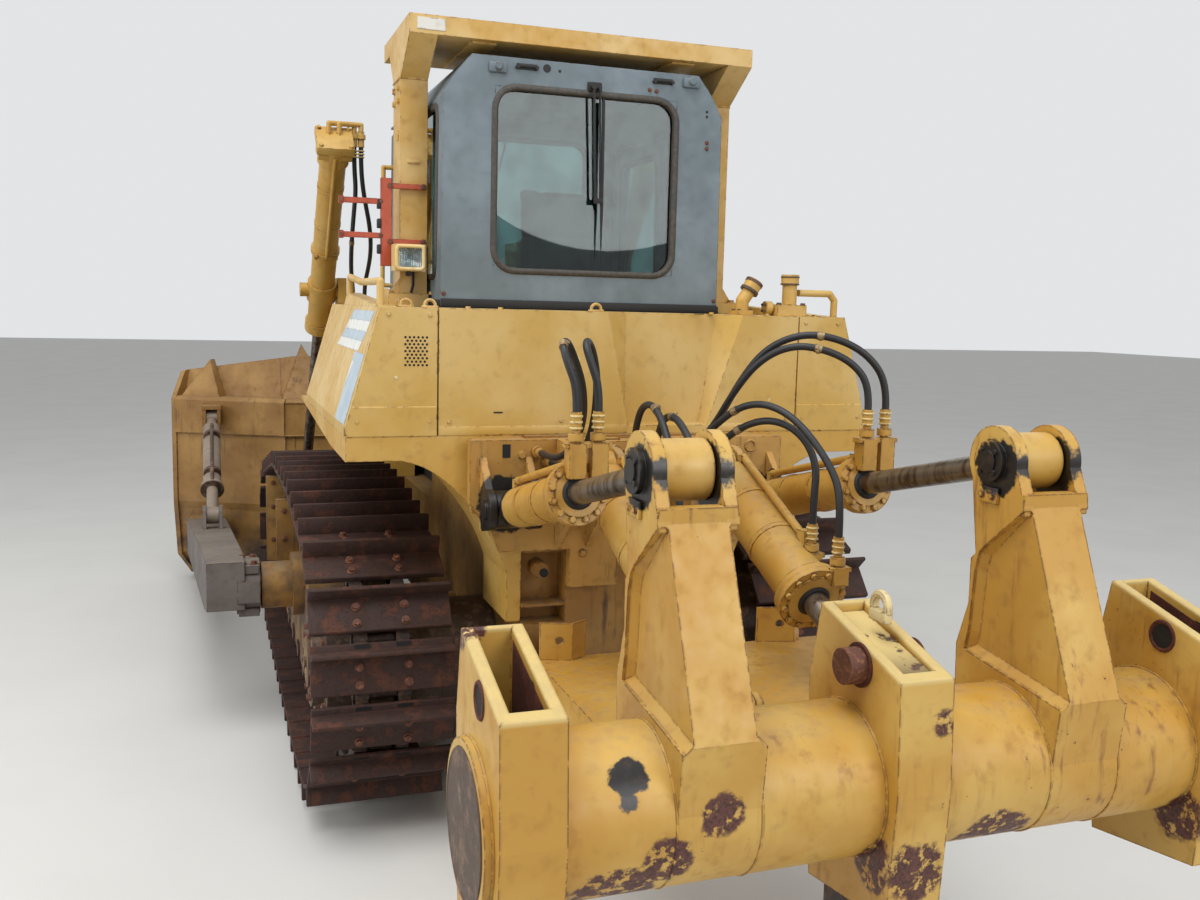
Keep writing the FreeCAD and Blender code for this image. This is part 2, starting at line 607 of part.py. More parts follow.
def bent_bar(points, radius):
    """Round bar along a few straight runs, with ball corners."""
    runs = [cyl(a, b, radius) for a, b in zip(points, points[1:])]
    return runs + [Part.makeSphere(radius, Vector(*point)) for point in points[1:-1]]


rail = bent_bar([(-TANK_TOP_HALF + x, y, TANK_TOP + z) for x, y, z in RAIL], RAIL_R)
POST_X = TANK_TOP_HALF - 250
POST_Y = TANK_REAR + 82.0
# short rail between the capped post and the right corner
corner_rail = bent_bar([
    (TANK_TOP_HALF - 12, POST_Y, TANK_TOP - 5), (TANK_TOP_HALF - 12, POST_Y, TANK_TOP + 78),
    (TANK_TOP_HALF - 38, POST_Y, TANK_TOP + 108), (POST_X + 45, POST_Y, TANK_TOP + 108),
], RAIL_R)
keep("side_boxes", fuse([side_box, rim] + rail), fuse([mirror(side_box), mirror(rim)] + corner_rail))
skirt = prism_x([(TANK_REAR, TANK_BOTTOM), (TANK_REAR, SKIRT_BOTTOM), (-60, SKIRT_BOTTOM), (FENDER_FRONT, 1790), (FENDER_FRONT, TANK_BOTTOM)],
                -TANK_LOW_HALF, -TANK_LOW_HALF + 22)
floor = prism_x([(TANK_REAR, TANK_BOTTOM - 26), (TANK_REAR, TANK_BOTTOM), (FENDER_FRONT, TANK_BOTTOM), (FENDER_FRONT, TANK_BOTTOM - 26)], -TANK_LOW_HALF + 22, -HULL_HALF_WIDTH)
# arch over the track's inner rear corner: a curved face from the skirt down beside the hull
ARCH_X = 533.0
ARCH_FRONT = TANK_REAR + 420
ARCH_BOTTOM = 990.0
arch_curve = Part.BSplineCurve()
arch_curve.interpolate([Vector(x, TANK_REAR, z) for x, z in ((-995, SKIRT_BOTTOM), (-847, 1648), (-714, 1523), (-598, 1354), (-ARCH_X, 1200))])
arch_points = [Vector(x, TANK_REAR, z) for x, z in (
    (-ARCH_X, 1200), (-ARCH_X, ARCH_BOTTOM), (-HULL_HALF_WIDTH, ARCH_BOTTOM), (-HULL_HALF_WIDTH, TANK_BOTTOM - 26),
    (-TANK_LOW_HALF + 22, TANK_BOTTOM - 26), (-TANK_LOW_HALF + 22, SKIRT_BOTTOM), (-995, SKIRT_BOTTOM))]
arch_edges = [arch_curve.toShape()] + [Part.LineSegment(a, b).toShape() for a, b in zip(arch_points, arch_points[1:])]
arch = Part.Face(Part.Wire(arch_edges)).extrude(Vector(0, ARCH_FRONT - TANK_REAR, 0))
fender = fuse([skirt, floor, arch])
keep("fenders", *pair(fender))

# Cab.
def cab_section(inset, low, high):
    half = CAB_HALF - inset
    top_half = CAB_TOP_HALF - inset
    return [(-half, low), (half, low), (half - 12, 3300), (half - 70, high - 90), (top_half, high), (-top_half, high), (-half + 70, high - 90), (-half + 12, 3300)]


cab_outer = prism_y(cab_section(0, CAB_FLOOR, CAB_TOP), CAB_REAR, CAB_REAR + CAB_LENGTH)
cab_inner = prism_y(cab_section(CAB_WALL, CAB_FLOOR + CAB_WALL, CAB_TOP - CAB_WALL), CAB_REAR + CAB_WALL, CAB_REAR + CAB_LENGTH - CAB_WALL)
DOOR_Y0 = CAB_REAR + 640.0
DOOR_Y1 = CAB_REAR + 1380.0
DOOR_TOP = 3290.0
DOOR_LOW = TANK_TOP + 15.0
REAR_WINDOW = (-455.0, 455.0, 2515.0, 3358.0)
FRONT_WINDOW = (-480.0, 480.0, 2440.0, 3330.0)
QUARTER_Y = (CAB_REAR + 110.0, CAB_REAR + 560.0)
holes = [
    box(REAR_WINDOW[0], REAR_WINDOW[1], CAB_REAR - 10, CAB_REAR + CAB_WALL + 10, REAR_WINDOW[2], REAR_WINDOW[3]),
    box(FRONT_WINDOW[0], FRONT_WINDOW[1], CAB_REAR + CAB_LENGTH - CAB_WALL - 10, CAB_REAR + CAB_LENGTH + 10, FRONT_WINDOW[2], FRONT_WINDOW[3]),
    box(-CAB_HALF - 10, CAB_HALF + 10, QUARTER_Y[0], QUARTER_Y[1], 2480, 3270),
    box(-CAB_HALF - 10, CAB_HALF + 10, DOOR_Y0, DOOR_Y1, DOOR_LOW, DOOR_TOP),
]
cab = cab_outer.cut(cab_inner)
for hole in holes:
    cab = cab.cut(hole)
# doors fill their openings with a gap all round, and carry a window
door_solid = cab_outer.cut(cab_inner).common(box(-CAB_HALF - 5, -CAB_HALF + 200, DOOR_Y0 + MOVING_GAP, DOOR_Y1 - MOVING_GAP, DOOR_LOW + MOVING_GAP, DOOR_TOP - MOVING_GAP))
door_window = (DOOR_Y0 + 90, DOOR_Y1 - 90, DOOR_LOW + 130, DOOR_TOP - 90)
door_solid = door_solid.cut(box(-CAB_HALF - 20, -CAB_HALF + 210, *door_window))
cab_knuckles, cab_hinges = hinge(DOOR_Y0 + MOVING_GAP / 2, (DOOR_LOW + 90, DOOR_LOW + 640), -CAB_HALF, -1, DOOR_Y0)
door_solid = fuse([door_solid] + cab_knuckles)
keep("cab_shell", fuse([cab] + cab_hinges + [mirror(h) for h in cab_hinges]))
keep("cab_door_left", door_solid)
keep("cab_door_right", mirror(door_solid))
# glass panes sit in the middle of the walls
wall_mid = CAB_WALL / 2
panes = [
    box(REAR_WINDOW[0], REAR_WINDOW[1], CAB_REAR + wall_mid - 4, CAB_REAR + wall_mid + 4, REAR_WINDOW[2], REAR_WINDOW[3]),
    box(FRONT_WINDOW[0], FRONT_WINDOW[1], CAB_REAR + CAB_LENGTH - wall_mid - 4, CAB_REAR + CAB_LENGTH - wall_mid + 4, FRONT_WINDOW[2], FRONT_WINDOW[3]),
]
quarter = box(-CAB_HALF + wall_mid - 4, -CAB_HALF + wall_mid + 4, QUARTER_Y[0], QUARTER_Y[1], 2480, 3270)
keep("cab_glass", *(panes + pair(quarter)))
pane = box(-CAB_HALF + wall_mid - 4, -CAB_HALF + wall_mid + 4, *door_window)
keep("door_glass_left", pane)
keep("door_glass_right", mirror(pane))
# rubber mounts carry the cab on the hull
cab_mounts = []
for x in (-370, 370):
    for y in (CAB_REAR + 130, CAB_REAR + 1280):
        cab_mounts.append(cyl((x, y, TANK_BOTTOM), (x, y, CAB_FLOOR), 75))
keep("cab_mounts", *cab_mounts)
# inside: seat, console and levers
SEAT_Y = CAB_REAR + 400.0
keep("cab_seat", fuse([
    box(-260, 260, SEAT_Y, SEAT_Y + 500, CAB_FLOOR + 200, CAB_FLOOR + 400),
    box(-250, 250, SEAT_Y - 90, SEAT_Y + 20, CAB_FLOOR + 340, CAB_FLOOR + 1060),
    box(-200, 200, SEAT_Y + 50, SEAT_Y + 450, CAB_FLOOR + CAB_WALL, CAB_FLOOR + 200),
]))
levers = fuse([
    box(300, 480, SEAT_Y + 100, SEAT_Y + 600, CAB_FLOOR + CAB_WALL, CAB_FLOOR + 480),
    cyl((390, SEAT_Y + 480, CAB_FLOOR + 480), (390, SEAT_Y + 540, CAB_FLOOR + 740), 22),
])
console = box(-420, 420, CAB_REAR + CAB_LENGTH - 320, CAB_REAR + CAB_LENGTH - CAB_WALL - 15, CAB_FLOOR + CAB_WALL, CAB_FLOOR + 520)
keep("cab_console", console, levers)

# Roll-over frame.
rops_side = [
    (ROPS_REAR, ROPS_TOP), (ROPS_REAR, ROPS_TOP - ROPS_BEAM_HEIGHT), (ROPS_LEG_REAR, ROPS_TOP - ROPS_KNEE),
    (ROPS_LEG_REAR, TANK_TOP),
    (ROPS_LEG_REAR + ROPS_LEG_DEPTH, TANK_TOP), (ROPS_LEG_REAR + ROPS_LEG_DEPTH, ROPS_TOP - ROPS_KNEE),
    (ROPS_FRONT - 165, ROPS_TOP - ROPS_BEAM_HEIGHT), (ROPS_FRONT, ROPS_TOP - ROPS_BEAM_HEIGHT), (ROPS_FRONT, ROPS_TOP),
]
leg = prism_x(rops_side, -ROPS_HALF, -ROPS_HALF + ROPS_LEG_WIDTH)
beam_top = box(-ROPS_HALF, ROPS_HALF, ROPS_REAR, ROPS_FRONT, ROPS_TOP - ROPS_BEAM_HEIGHT, ROPS_TOP)
foot = box(-ROPS_HALF - 60, -ROPS_HALF + ROPS_LEG_WIDTH, ROPS_LEG_REAR - 40, ROPS_LEG_REAR + ROPS_LEG_DEPTH + 60, TANK_TOP, TANK_TOP + 60)
keep("rollover_frame", fuse([beam_top] + pair(leg) + pair(foot)))

# rear work lamp on its bracket
lamp = fuse([box(-900, -755, 130, 225, 2500, 2625), cyl((-827, 225, 2560), (-827, ROPS_LEG_REAR, 2560), 20)])
keep("work_lamp", lamp)
CLAMP_BAR_X = -920.0
clamp_y = ROPS_LEG_REAR
bracket_bars = [box(CLAMP_BAR_X - 25, CLAMP_BAR_X + 25, clamp_y - 25, clamp_y + 15, 2524, 2933)]
for z in (2665.0, 2824.0):
    bracket_bars.append(box(-1136, CLAMP_BAR_X, clamp_y - 18, clamp_y, z - 13, z + 13))
    bracket_bars.append(box(-1140, -1120, clamp_y - 24, clamp_y + 4, z - 18, z + 18))
for z in (2640.0, 2899.0):
    bracket_bars.append(box(CLAMP_BAR_X, -ROPS_HALF + ROPS_LEG_WIDTH - 10, clamp_y - 22, clamp_y, z - 12, z + 12))
bracket = fuse(bracket_bars)
keep("leg_clamp", bracket)
FILLER_X = TANK_TOP_HALF - 493
filler_y = TANK_REAR + 80.0
knee = (FILLER_X, filler_y, TANK_TOP + 64)
lip = (FILLER_X + 34, filler_y, TANK_TOP + 112)
cap_end = (FILLER_X + 62, filler_y, TANK_TOP + 156)
filler = fuse([
    cyl((FILLER_X, filler_y, TANK_TOP), knee, 30),
    Part.makeSphere(30, Vector(*knee)),
    cyl(knee, lip, 30),
    cyl(lip, cap_end, 40),
    box(FILLER_X - 38, FILLER_X + 38, filler_y - 38, filler_y + 38, TANK_TOP, TANK_TOP + 22),
])
# capped post on its flange, with a drain fitting on the left
post = fuse([
    cyl((POST_X, POST_Y, TANK_TOP), (POST_X, POST_Y, TANK_TOP + 150), 34),
    cyl((POST_X, POST_Y, TANK_TOP + 142), (POST_X, POST_Y, TANK_TOP + 190), 41),
    box(POST_X - 88, POST_X + 62, POST_Y - 55, POST_Y + 60, TANK_TOP, TANK_TOP + 52),
    cyl((POST_X - 118, POST_Y, TANK_TOP + 36), (POST_X - 80, POST_Y, TANK_TOP + 36), 20),
    cyl((POST_X - 128, POST_Y, TANK_TOP + 36), (POST_X - 96, POST_Y, TANK_TOP + 36), 30),
])
keep("tank_fittings", filler, post)

# Blade group.
arm_side = prism_x([
    (TRUNNION_Y - 150, TRUNNION_Z - ARM_REAR_HALF_HEIGHT + 70), (TRUNNION_Y + 190, TRUNNION_Z - ARM_REAR_HALF_HEIGHT),
    (ARM_FRONT, ARM_FRONT_LOW), (ARM_FRONT, ARM_FRONT_TOP),
    (TRUNNION_Y + 190, TRUNNION_Z + ARM_REAR_HALF_HEIGHT - 20), (TRUNNION_Y - 150, TRUNNION_Z + ARM_REAR_HALF_HEIGHT),
], ARM_INNER_X - 50, ARM_OUTER_X + ARM_SPLAY_OUTER + 50)
arm_plan = prism_z([
    (ARM_INNER_X + 80, TRUNNION_Y - 150), (ARM_INNER_X + 80, TRUNNION_Y + 260), (ARM_INNER_X + ARM_SPLAY_INNER, ARM_FRONT),
    (ARM_OUTER_X + ARM_SPLAY_OUTER, ARM_FRONT), (ARM_OUTER_X, TRUNNION_Y - 150),
], 0, 1500)
# bearing at the arm's rear end: a round housing with a split cap held by four bosses
bearing = [cyl_x(TRUNNION_Y, TRUNNION_Z, 152, ARM_INNER_X, ARM_INNER_X + 120)]
for z in (TRUNNION_Z - 138, TRUNNION_Z + 96):
    bearing.append(box(ARM_INNER_X + 6, ARM_INNER_X + 112, TRUNNION_Y - 132, TRUNNION_Y + 130, z, z + 42))
bearing.append(box(ARM_INNER_X + 2, ARM_INNER_X + 118, TRUNNION_Y - 158, TRUNNION_Y - 120, TRUNNION_Z - 60, TRUNNION_Z + 60))
# flanges along the top and the foot of the outer side
arm = fuse([arm_side.common(arm_plan)] + bearing)
arm = arm.cut(cyl_x(TRUNNION_Y, TRUNNION_Z, TRUNNION_R + FIT, ARM_INNER_X - 60, ARM_INNER_X + 156))
arm_slope = (ARM_FRONT_TOP - (TRUNNION_Z + ARM_REAR_HALF_HEIGHT - 20)) / (ARM_FRONT - TRUNNION_Y - 190)


def arm_top(y):
    """Height of the arm's top face at y."""
    return ARM_FRONT_TOP + arm_slope * (y - ARM_FRONT)


# clevis of the brace on the arm
CLEVIS_HALF = 42.0
CLEVIS_PLATE = 26.0
clevis = []
for side in (-1, 1):
    x = BRACE_LOW_X + side * (CLEVIS_HALF + CLEVIS_PLATE / 2) - CLEVIS_PLATE / 2
    clevis.append(prism_x([
        (BRACE_LOW[0] - 110, arm_top(BRACE_LOW[0] - 110) - 5), (BRACE_LOW[0] - 62, BRACE_LOW[1] + 40),
        (BRACE_LOW[0] - 30, BRACE_LOW[1] + 68), (BRACE_LOW[0] + 30, BRACE_LOW[1] + 68),
        (BRACE_LOW[0] + 62, BRACE_LOW[1] + 40), (BRACE_LOW[0] + 110, arm_top(BRACE_LOW[0] + 110) - 5),
    ], x, x + CLEVIS_PLATE))
clevis.append(cyl_x(BRACE_LOW[0], BRACE_LOW[1], 28, BRACE_LOW_X - CLEVIS_HALF - 5, BRACE_LOW_X + CLEVIS_HALF + 5))
arm = fuse([arm] + clevis)
keep("push_arms", *pair(arm))

# blade: front curve of the mouldboard, columns: Z, Y ahead of BLADE_BACK
BLADE_CURVE = [
    (BLADE_BOTTOM, 345.0), (140.0, 292.0), (300.0, 215.0), (500.0, 145.0), (750.0, 98.0), (1000.0, 85.0),
    (1250.0, 105.0), (1500.0, 165.0), (1700.0, 240.0), (BLADE_TOP, 325.0),
]
front_curve = [(BLADE_BACK + ahead, z) for z, ahead in BLADE_CURVE]
back_curve = [(y - BLADE_PLATE, z) for y, z in front_curve]
plate_outline = front_curve + back_curve[::-1]
wing_angle = math.degrees(math.atan2(BLADE_WING_FORWARD, BLADE_HALF - BLADE_WING_X))
wing_length = math.hypot(BLADE_WING_FORWARD, BLADE_HALF - BLADE_WING_X)
wing_end = BLADE_WING_X + wing_length
# stiffening boxes behind the plate, from the foot up
BACK_BOXES = [
    [(BLADE_BACK + 60, 260), (BLADE_BACK + 240, 90), (BLADE_BACK + 130, 640), (BLADE_BACK + 20, 640)],
    [(BLADE_BACK + 20, 640), (BLADE_BACK, 700), (BLADE_BACK, 1265), (BLADE_BACK + 80, 1265), (BLADE_BACK + 70, 800),
     (BLADE_BACK + 130, 640)],
    [(BLADE_BACK - 20, 1265), (BLADE_BACK - 20, 1530), (BLADE_BACK + 10, 1560), (BLADE_BACK + 170, 1560),
     (BLADE_BACK + 90, 1265)],
]


def swung(shape, side):
    """Turn a wing piece forward about the upright line at the wing's root."""
    copy = shape.copy()
    copy.rotate(Vector(side * BLADE_WING_X, BLADE_BACK + 90, 0), Vector(0, 0, 1), side * wing_angle)
    return copy


def gusset(x_low, x_high, x_tip, tip_z):
    """Triangular stiffener standing on the upper box, up the back of the plate."""
    wedge = prism_y([(x_low, 1555), (x_high, 1555), (x_tip, tip_z)], BLADE_BACK + 30, BLADE_BACK + 330)
    behind = prism_x([(BLADE_BACK + 30, 1555), (BLADE_BACK + 160, 1555), (BLADE_BACK + 215, 1700),
                      (BLADE_BACK + 300, BLADE_TOP), (BLADE_BACK + 318, 2000), (BLADE_BACK + 290, 2000)], x_low, x_high)
    return wedge.common(behind)


mid_parts = [prism_x(plate_outline, -BLADE_WING_X, BLADE_WING_X)]
wing_parts = [prism_x(plate_outline, BLADE_WING_X - 60, wing_end)]
for outline in BACK_BOXES:
    mid_parts.append(prism_x(outline, -BLADE_WING_X, BLADE_WING_X))
    wing_parts.append(prism_x(outline, BLADE_WING_X - 60, wing_end - 30))
wing_parts.append(prism_x([
    (BLADE_BACK + 40, 250), (BLADE_BACK + 280, 40), (BLADE_BACK + 345, 40), (BLADE_BACK + 98, 750),
    (BLADE_BACK + 85, 1000), (BLADE_BACK + 165, 1500), (BLADE_BACK + 300, 1800), (BLADE_BACK + 200, 1790),
    (BLADE_BACK - 10, 1540), (BLADE_BACK - 10, 700),
], wing_end - 36, wing_end))
wing_parts.append(gusset(BLADE_WING_X + 500, wing_end - 60, BLADE_WING_X + 650, BLADE_TIP_TOP + 105))
mid_gusset = gusset(730, BLADE_WING_X, 980, BLADE_TOP + 100)
# lugs of the lift cylinders
lugs = []
for x in (LIFT_X - 80, LIFT_X + 50):
    lugs.append(prism_x([(BLADE_BACK + 40, LIFT_PIN_Z - 200), (LIFT_PIN_Y - 50, LIFT_PIN_Z - 50),
                         (LIFT_PIN_Y - 50, LIFT_PIN_Z + 50), (BLADE_BACK + 40, LIFT_PIN_Z + 200)], x, x + 30))
lift_lug = fuse(lugs + [
    cyl_x(LIFT_PIN_Y, LIFT_PIN_Z, 42, LIFT_X - 92, LIFT_X - 80),
    cyl_x(LIFT_PIN_Y, LIFT_PIN_Z, 42, LIFT_X + 80, LIFT_X + 92),
])
# foot that takes the arm's front end, and the bracket of the brace
arm_lug = box(ARM_INNER_X + ARM_SPLAY_INNER + 20, ARM_OUTER_X + ARM_SPLAY_OUTER - 20, ARM_FRONT, ARM_FRONT + 290, ARM_FRONT_LOW + 10, ARM_FRONT_TOP - 10)
top_x = BRACE_TOP_X
bracket_parts = [box(top_x - 72, top_x + 72, BRACE_TOP[0] - 70, BRACE_TOP[0] + 130, BRACE_TOP[1] + 72, BRACE_TOP[1] + 100)]
for side in (-1, 1):
    x = top_x + side * (CLEVIS_HALF + CLEVIS_PLATE / 2) - CLEVIS_PLATE / 2
    bracket_parts.append(box(x, x + CLEVIS_PLATE, BRACE_TOP[0] - 66, BRACE_TOP[0] + 130, BRACE_TOP[1] - 66, BRACE_TOP[1] + 80))
bracket_parts.append(cyl_x(BRACE_TOP[0], BRACE_TOP[1], 28, top_x - CLEVIS_HALF - 5, top_x + CLEVIS_HALF + 5))
brace_bracket = fuse(bracket_parts)
wing = fuse(wing_parts)
blade = fuse(mid_parts + [swung(wing, 1), mirror(swung(wing, 1))])
slope = prism_y([
    (BLADE_SLOPE_START, BLADE_TOP), (BLADE_HALF + 60, BLADE_TIP_TOP - 10), (BLADE_HALF + 60, 2300), (BLADE_SLOPE_START, 2300),
], BLADE_BACK - 100, BLADE_BACK + 1000)
wing_gusset = swung(wing_parts[-1], 1)
blade = blade.cut(slope).cut(mirror(slope))
blade = fuse([blade] + pair(mid_gusset) + pair(wing_gusset) + pair(lift_lug) + pair(arm_lug) + pair(brace_bracket))
keep("blade", blade)
# cutting edge bolted to the foot of the mouldboard, with an end bit at each tip
EDGE_THICK = 25.0
edge_low = 10.0
edge_outline = [
    (BLADE_BACK + 364, edge_low), (BLADE_BACK + 215, 300), (BLADE_BACK + 215 + EDGE_THICK, 312),
    (BLADE_BACK + 364 + EDGE_THICK + 6, edge_low),
]
edge_plate = [prism_x(edge_outline, -BLADE_WING_X, BLADE_WING_X)]
wing_edge = prism_x(edge_outline, BLADE_WING_X - 60, wing_end + 12)
edges = fuse(edge_plate + pair(swung(wing_edge, 1))).cut(blade)
keep("cutting_edges", *edges.Solids)

# braces between the arms and the top of the blade: a cylinder with its rod down
def brace(x_low, low, x_top, top):
    a = Vector(x_low, *low)
    b = Vector(x_top, *top)
    length = (b - a).Length
    reach = (b - a) * (1 / length)

    def at(distance):
        point = a + reach * distance
        return (point.x, point.y, point.z)

    eyes = [
        cyl_x(low[0], low[1], 60, x_low - CLEVIS_HALF + FIT, x_low + CLEVIS_HALF - FIT),
        cyl_x(top[0], top[1], 60, x_top - CLEVIS_HALF + FIT, x_top + CLEVIS_HALF - FIT),
    ]
    solid = fuse(eyes + [cyl(at(0), at(330), 40), cyl(at(300), at(length - 150), 64), cyl(at(300), at(350), 76),
                         cyl(at(length - 160), at(length - 20), 38)])
    solid = solid.cut(cyl_x(low[0], low[1], 28 + FIT, x_low - 60, x_low + 60))
    return solid.cut(cyl_x(top[0], top[1], 28 + FIT, x_top - 60, x_top + 60))


strut = brace(BRACE_LOW_X, BRACE_LOW, BRACE_TOP_X, BRACE_TOP)
keep("blade_struts", *pair(strut))

# lift cylinders: barrel on its trunnion in a yoke beside the hood
pivot = (LIFT_PIVOT_Y, LIFT_PIVOT_Z)
blade_pin = (LIFT_PIN_Y, LIFT_PIN_Z)
barrel_top = along(pivot, blade_pin, -LIFT_ABOVE)
barrel_end = along(pivot, blade_pin, LIFT_BELOW)
rod_top = along(pivot, blade_pin, -200)


def tube_between(a, b, x, radius):
    return cyl((x, a[0], a[1]), (x, b[0], b[1]), radius)


barrel = fuse([tube_between(barrel_top, barrel_end, LIFT_X, LIFT_BARREL_R), cyl_x(*pivot, 45, LIFT_X - 140, LIFT_X + 140)])
bore_top = along(pivot, blade_pin, -LIFT_ABOVE + 40)
cap_low = along(pivot, blade_pin, -LIFT_ABOVE + 150)
collar = along(pivot, blade_pin, -360)
barrel = fuse([
    barrel,
    tube_between(along(pivot, blade_pin, -LIFT_ABOVE - 12), along(pivot, blade_pin, -LIFT_ABOVE + 85), LIFT_X, LIFT_BARREL_R + 26),
    tube_between(cap_low, along(pivot, blade_pin, -LIFT_ABOVE + 85), LIFT_X, LIFT_BARREL_R + 14),
    tube_between(collar, along(pivot, blade_pin, -330), LIFT_X, LIFT_BARREL_R + 12),
    tube_between(along(pivot, blade_pin, -70), along(pivot, blade_pin, 70), LIFT_X, LIFT_BARREL_R + 16),
    tube_between(along(pivot, blade_pin, LIFT_BELOW - 60), barrel_end, LIFT_X, LIFT_BARREL_R + 14),
])
barrel = barrel.cut(tube_between(bore_top, along(pivot, blade_pin, LIFT_BELOW + 5), LIFT_X, LIFT_ROD_R + FIT))
# bent pipes over the cap end above the hoses of the left barrel
cap = along(pivot, blade_pin, -LIFT_ABOVE - 5)
pipe_parts = []
for x, y, z in ((-878.0, 1760.0, 3262.0), (-838.0, 1760.0, 3262.0)):
    rise = z + 130
    pipe_parts.append(fitting((x, y, z), (0, 0, -1), 80))
    pipe_parts.append(cyl((x, y, z + 70), (x, y, rise), 15))
    pipe_parts.append(cyl((x, y, rise), (-LIFT_X - (x + 858) * 1.5, cap[0] + 30, rise - 10), 15))
    pipe_parts.append(cyl((-LIFT_X - (x + 858) * 1.5, cap[0] + 30, rise - 10), (-LIFT_X - (x + 858) * 1.5, cap[0] + 40, cap[1] - 20), 15))
    pipe_parts.append(Part.makeSphere(15, Vector(x, y, rise)))
    pipe_parts.append(Part.makeSphere(15, Vector(-LIFT_X - (x + 858) * 1.5, cap[0] + 30, rise - 10)))
# a mirrored set on the right barrel ends in plugs
barrel_left = fuse([mirror(barrel)] + pipe_parts)
keep("lift_barrels", barrel_left, barrel)
LIFT_LENGTH = math.hypot(LIFT_PIN_Y - LIFT_PIVOT_Y, LIFT_PIN_Z - LIFT_PIVOT_Z)
rod = fuse([tube_between(rod_top, along(pivot, blade_pin, LIFT_LENGTH - 50), LIFT_X, LIFT_ROD_R), cyl_x(*blade_pin, 62, LIFT_X - 42, LIFT_X + 42)])
keep("lift_rods", *pair(rod))
yoke = fuse([
    box(620, LIFT_X - 96, LIFT_PIVOT_Y - 120, LIFT_PIVOT_Y + 120, LIFT_PIVOT_Z - 330, LIFT_PIVOT_Z - 90),
    box(LIFT_X - 150, LIFT_X - 96, LIFT_PIVOT_Y - 90, LIFT_PIVOT_Y + 90, LIFT_PIVOT_Z - 330, LIFT_PIVOT_Z + 80),
]).cut(cyl_x(*pivot, 45 + FIT, LIFT_X - 160, LIFT_X + 160))
hose_seats = [fitting((x, 2360, 2360), (0, 0, 1), 60) for x in (-812, -738)]
keep("lift_yokes", fuse([mirror(yoke)] + hose_seats), yoke)

# Ripper.
DECK_TOP = 1040.0
DECK_THICK = 30.0
DECK_HALF = 600.0
DECK_FRONT = -1280.0
DECK_REAR = -2190.0
side_plate = fuse([
    prism_x([(ARM_PIVOT_Y, ARM_PIVOT_Z - 90), (ARM_PIVOT_Y, ARM_PIVOT_Z + 90), (DECK_FRONT, DECK_TOP), (DECK_REAR, DECK_TOP),
             (BEAM_PIVOT_Y, BEAM_PIVOT_Z + 62), (BEAM_PIVOT_Y, BEAM_PIVOT_Z - 62), (-1500, 800)],
            ARM_PLATE_X - ARM_PLATE / 2, ARM_PLATE_X + ARM_PLATE / 2),
    cyl_x(*arm_pivot, 90, ARM_PLATE_X - ARM_PLATE / 2, ARM_PLATE_X + ARM_PLATE / 2),
    cyl_x(*beam_pivot, 62, ARM_PLATE_X - ARM_PLATE / 2, ARM_PLATE_X + ARM_PLATE / 2),
])
side_plate = side_plate.cut(cyl_x(*arm_pivot, 45 + FIT, 300, 500)).cut(cyl_x(*beam_pivot, 45 + FIT, 300, 500))
# deck between the side plates and beyond them, with a rib below each outer edge
deck = box(-DECK_HALF, DECK_HALF, DECK_REAR, DECK_FRONT, DECK_TOP - DECK_THICK, DECK_TOP)
deck_ribs = [prism_x([(DECK_FRONT - 40, DECK_TOP - DECK_THICK), (DECK_REAR, DECK_TOP - DECK_THICK), (DECK_REAR, DECK_TOP - 110),
                      (DECK_REAR + 300, DECK_TOP - 130), (DECK_FRONT - 260, DECK_TOP - 90)], DECK_HALF - 24, DECK_HALF)]
# bent tabs on the deck's front edge, columns: X of the outer end, fold and inner end
TAB_HEIGHT = 141.0
TAB_THICK = 12.0
tabs = []
for outer, fold, inner in ((-585.0, -469.0, -406.0), (320.0, 468.0, 511.0)):
    tab = prism_z([(outer, DECK_FRONT - 2), (fold, DECK_FRONT - 40), (inner, DECK_FRONT - 2), (inner, DECK_FRONT - 2 - TAB_THICK),
                   (fold, DECK_FRONT - 40 - TAB_THICK), (outer, DECK_FRONT - 2 - TAB_THICK)], DECK_TOP - 1, DECK_TOP + TAB_HEIGHT)
    hole_x = outer + 0.6 * (fold - outer)
    tabs.append(tab.cut(cyl((hole_x, DECK_FRONT, DECK_TOP + 75), (hole_x, DECK_FRONT - 80, DECK_TOP + 75), 14)))
ROD_LUG = 22.0
rod_lug_x = RLIFT_X - RLIFT_EYE_HALF - 5 - ROD_LUG
rod_lug = fuse([
    prism_x([(RLIFT_ROD_Y - 50, RLIFT_ROD_Z - 30), (RLIFT_ROD_Y + 55, RLIFT_ROD_Z), (-2120, DECK_TOP), (-2120, DECK_TOP - DECK_THICK),
             (DECK_REAR - 25, DECK_TOP - DECK_THICK)], rod_lug_x, rod_lug_x + ROD_LUG),
    cyl_x(RLIFT_ROD_Y, RLIFT_ROD_Z, 58, rod_lug_x, rod_lug_x + ROD_LUG),
])
rod_lugs = fuse([
    rod_lug,
    rod_lug.translated(Vector(2 * RLIFT_EYE_HALF + 10 + ROD_LUG, 0, 0)),
    cyl_x(RLIFT_ROD_Y, RLIFT_ROD_Z, 46, rod_lug_x - 10, rod_lug_x + 2),
    cyl_x(RLIFT_ROD_Y, RLIFT_ROD_Z, 46, RLIFT_X + RLIFT_EYE_HALF + 5 + ROD_LUG - 2, RLIFT_X + RLIFT_EYE_HALF + 5 + ROD_LUG + 2),
])
arm_frame = fuse([deck] + tabs + [s for r in deck_ribs for s in pair(r)] + pair(side_plate) + pair(rod_lugs))
keep("ripper_arm", arm_frame)
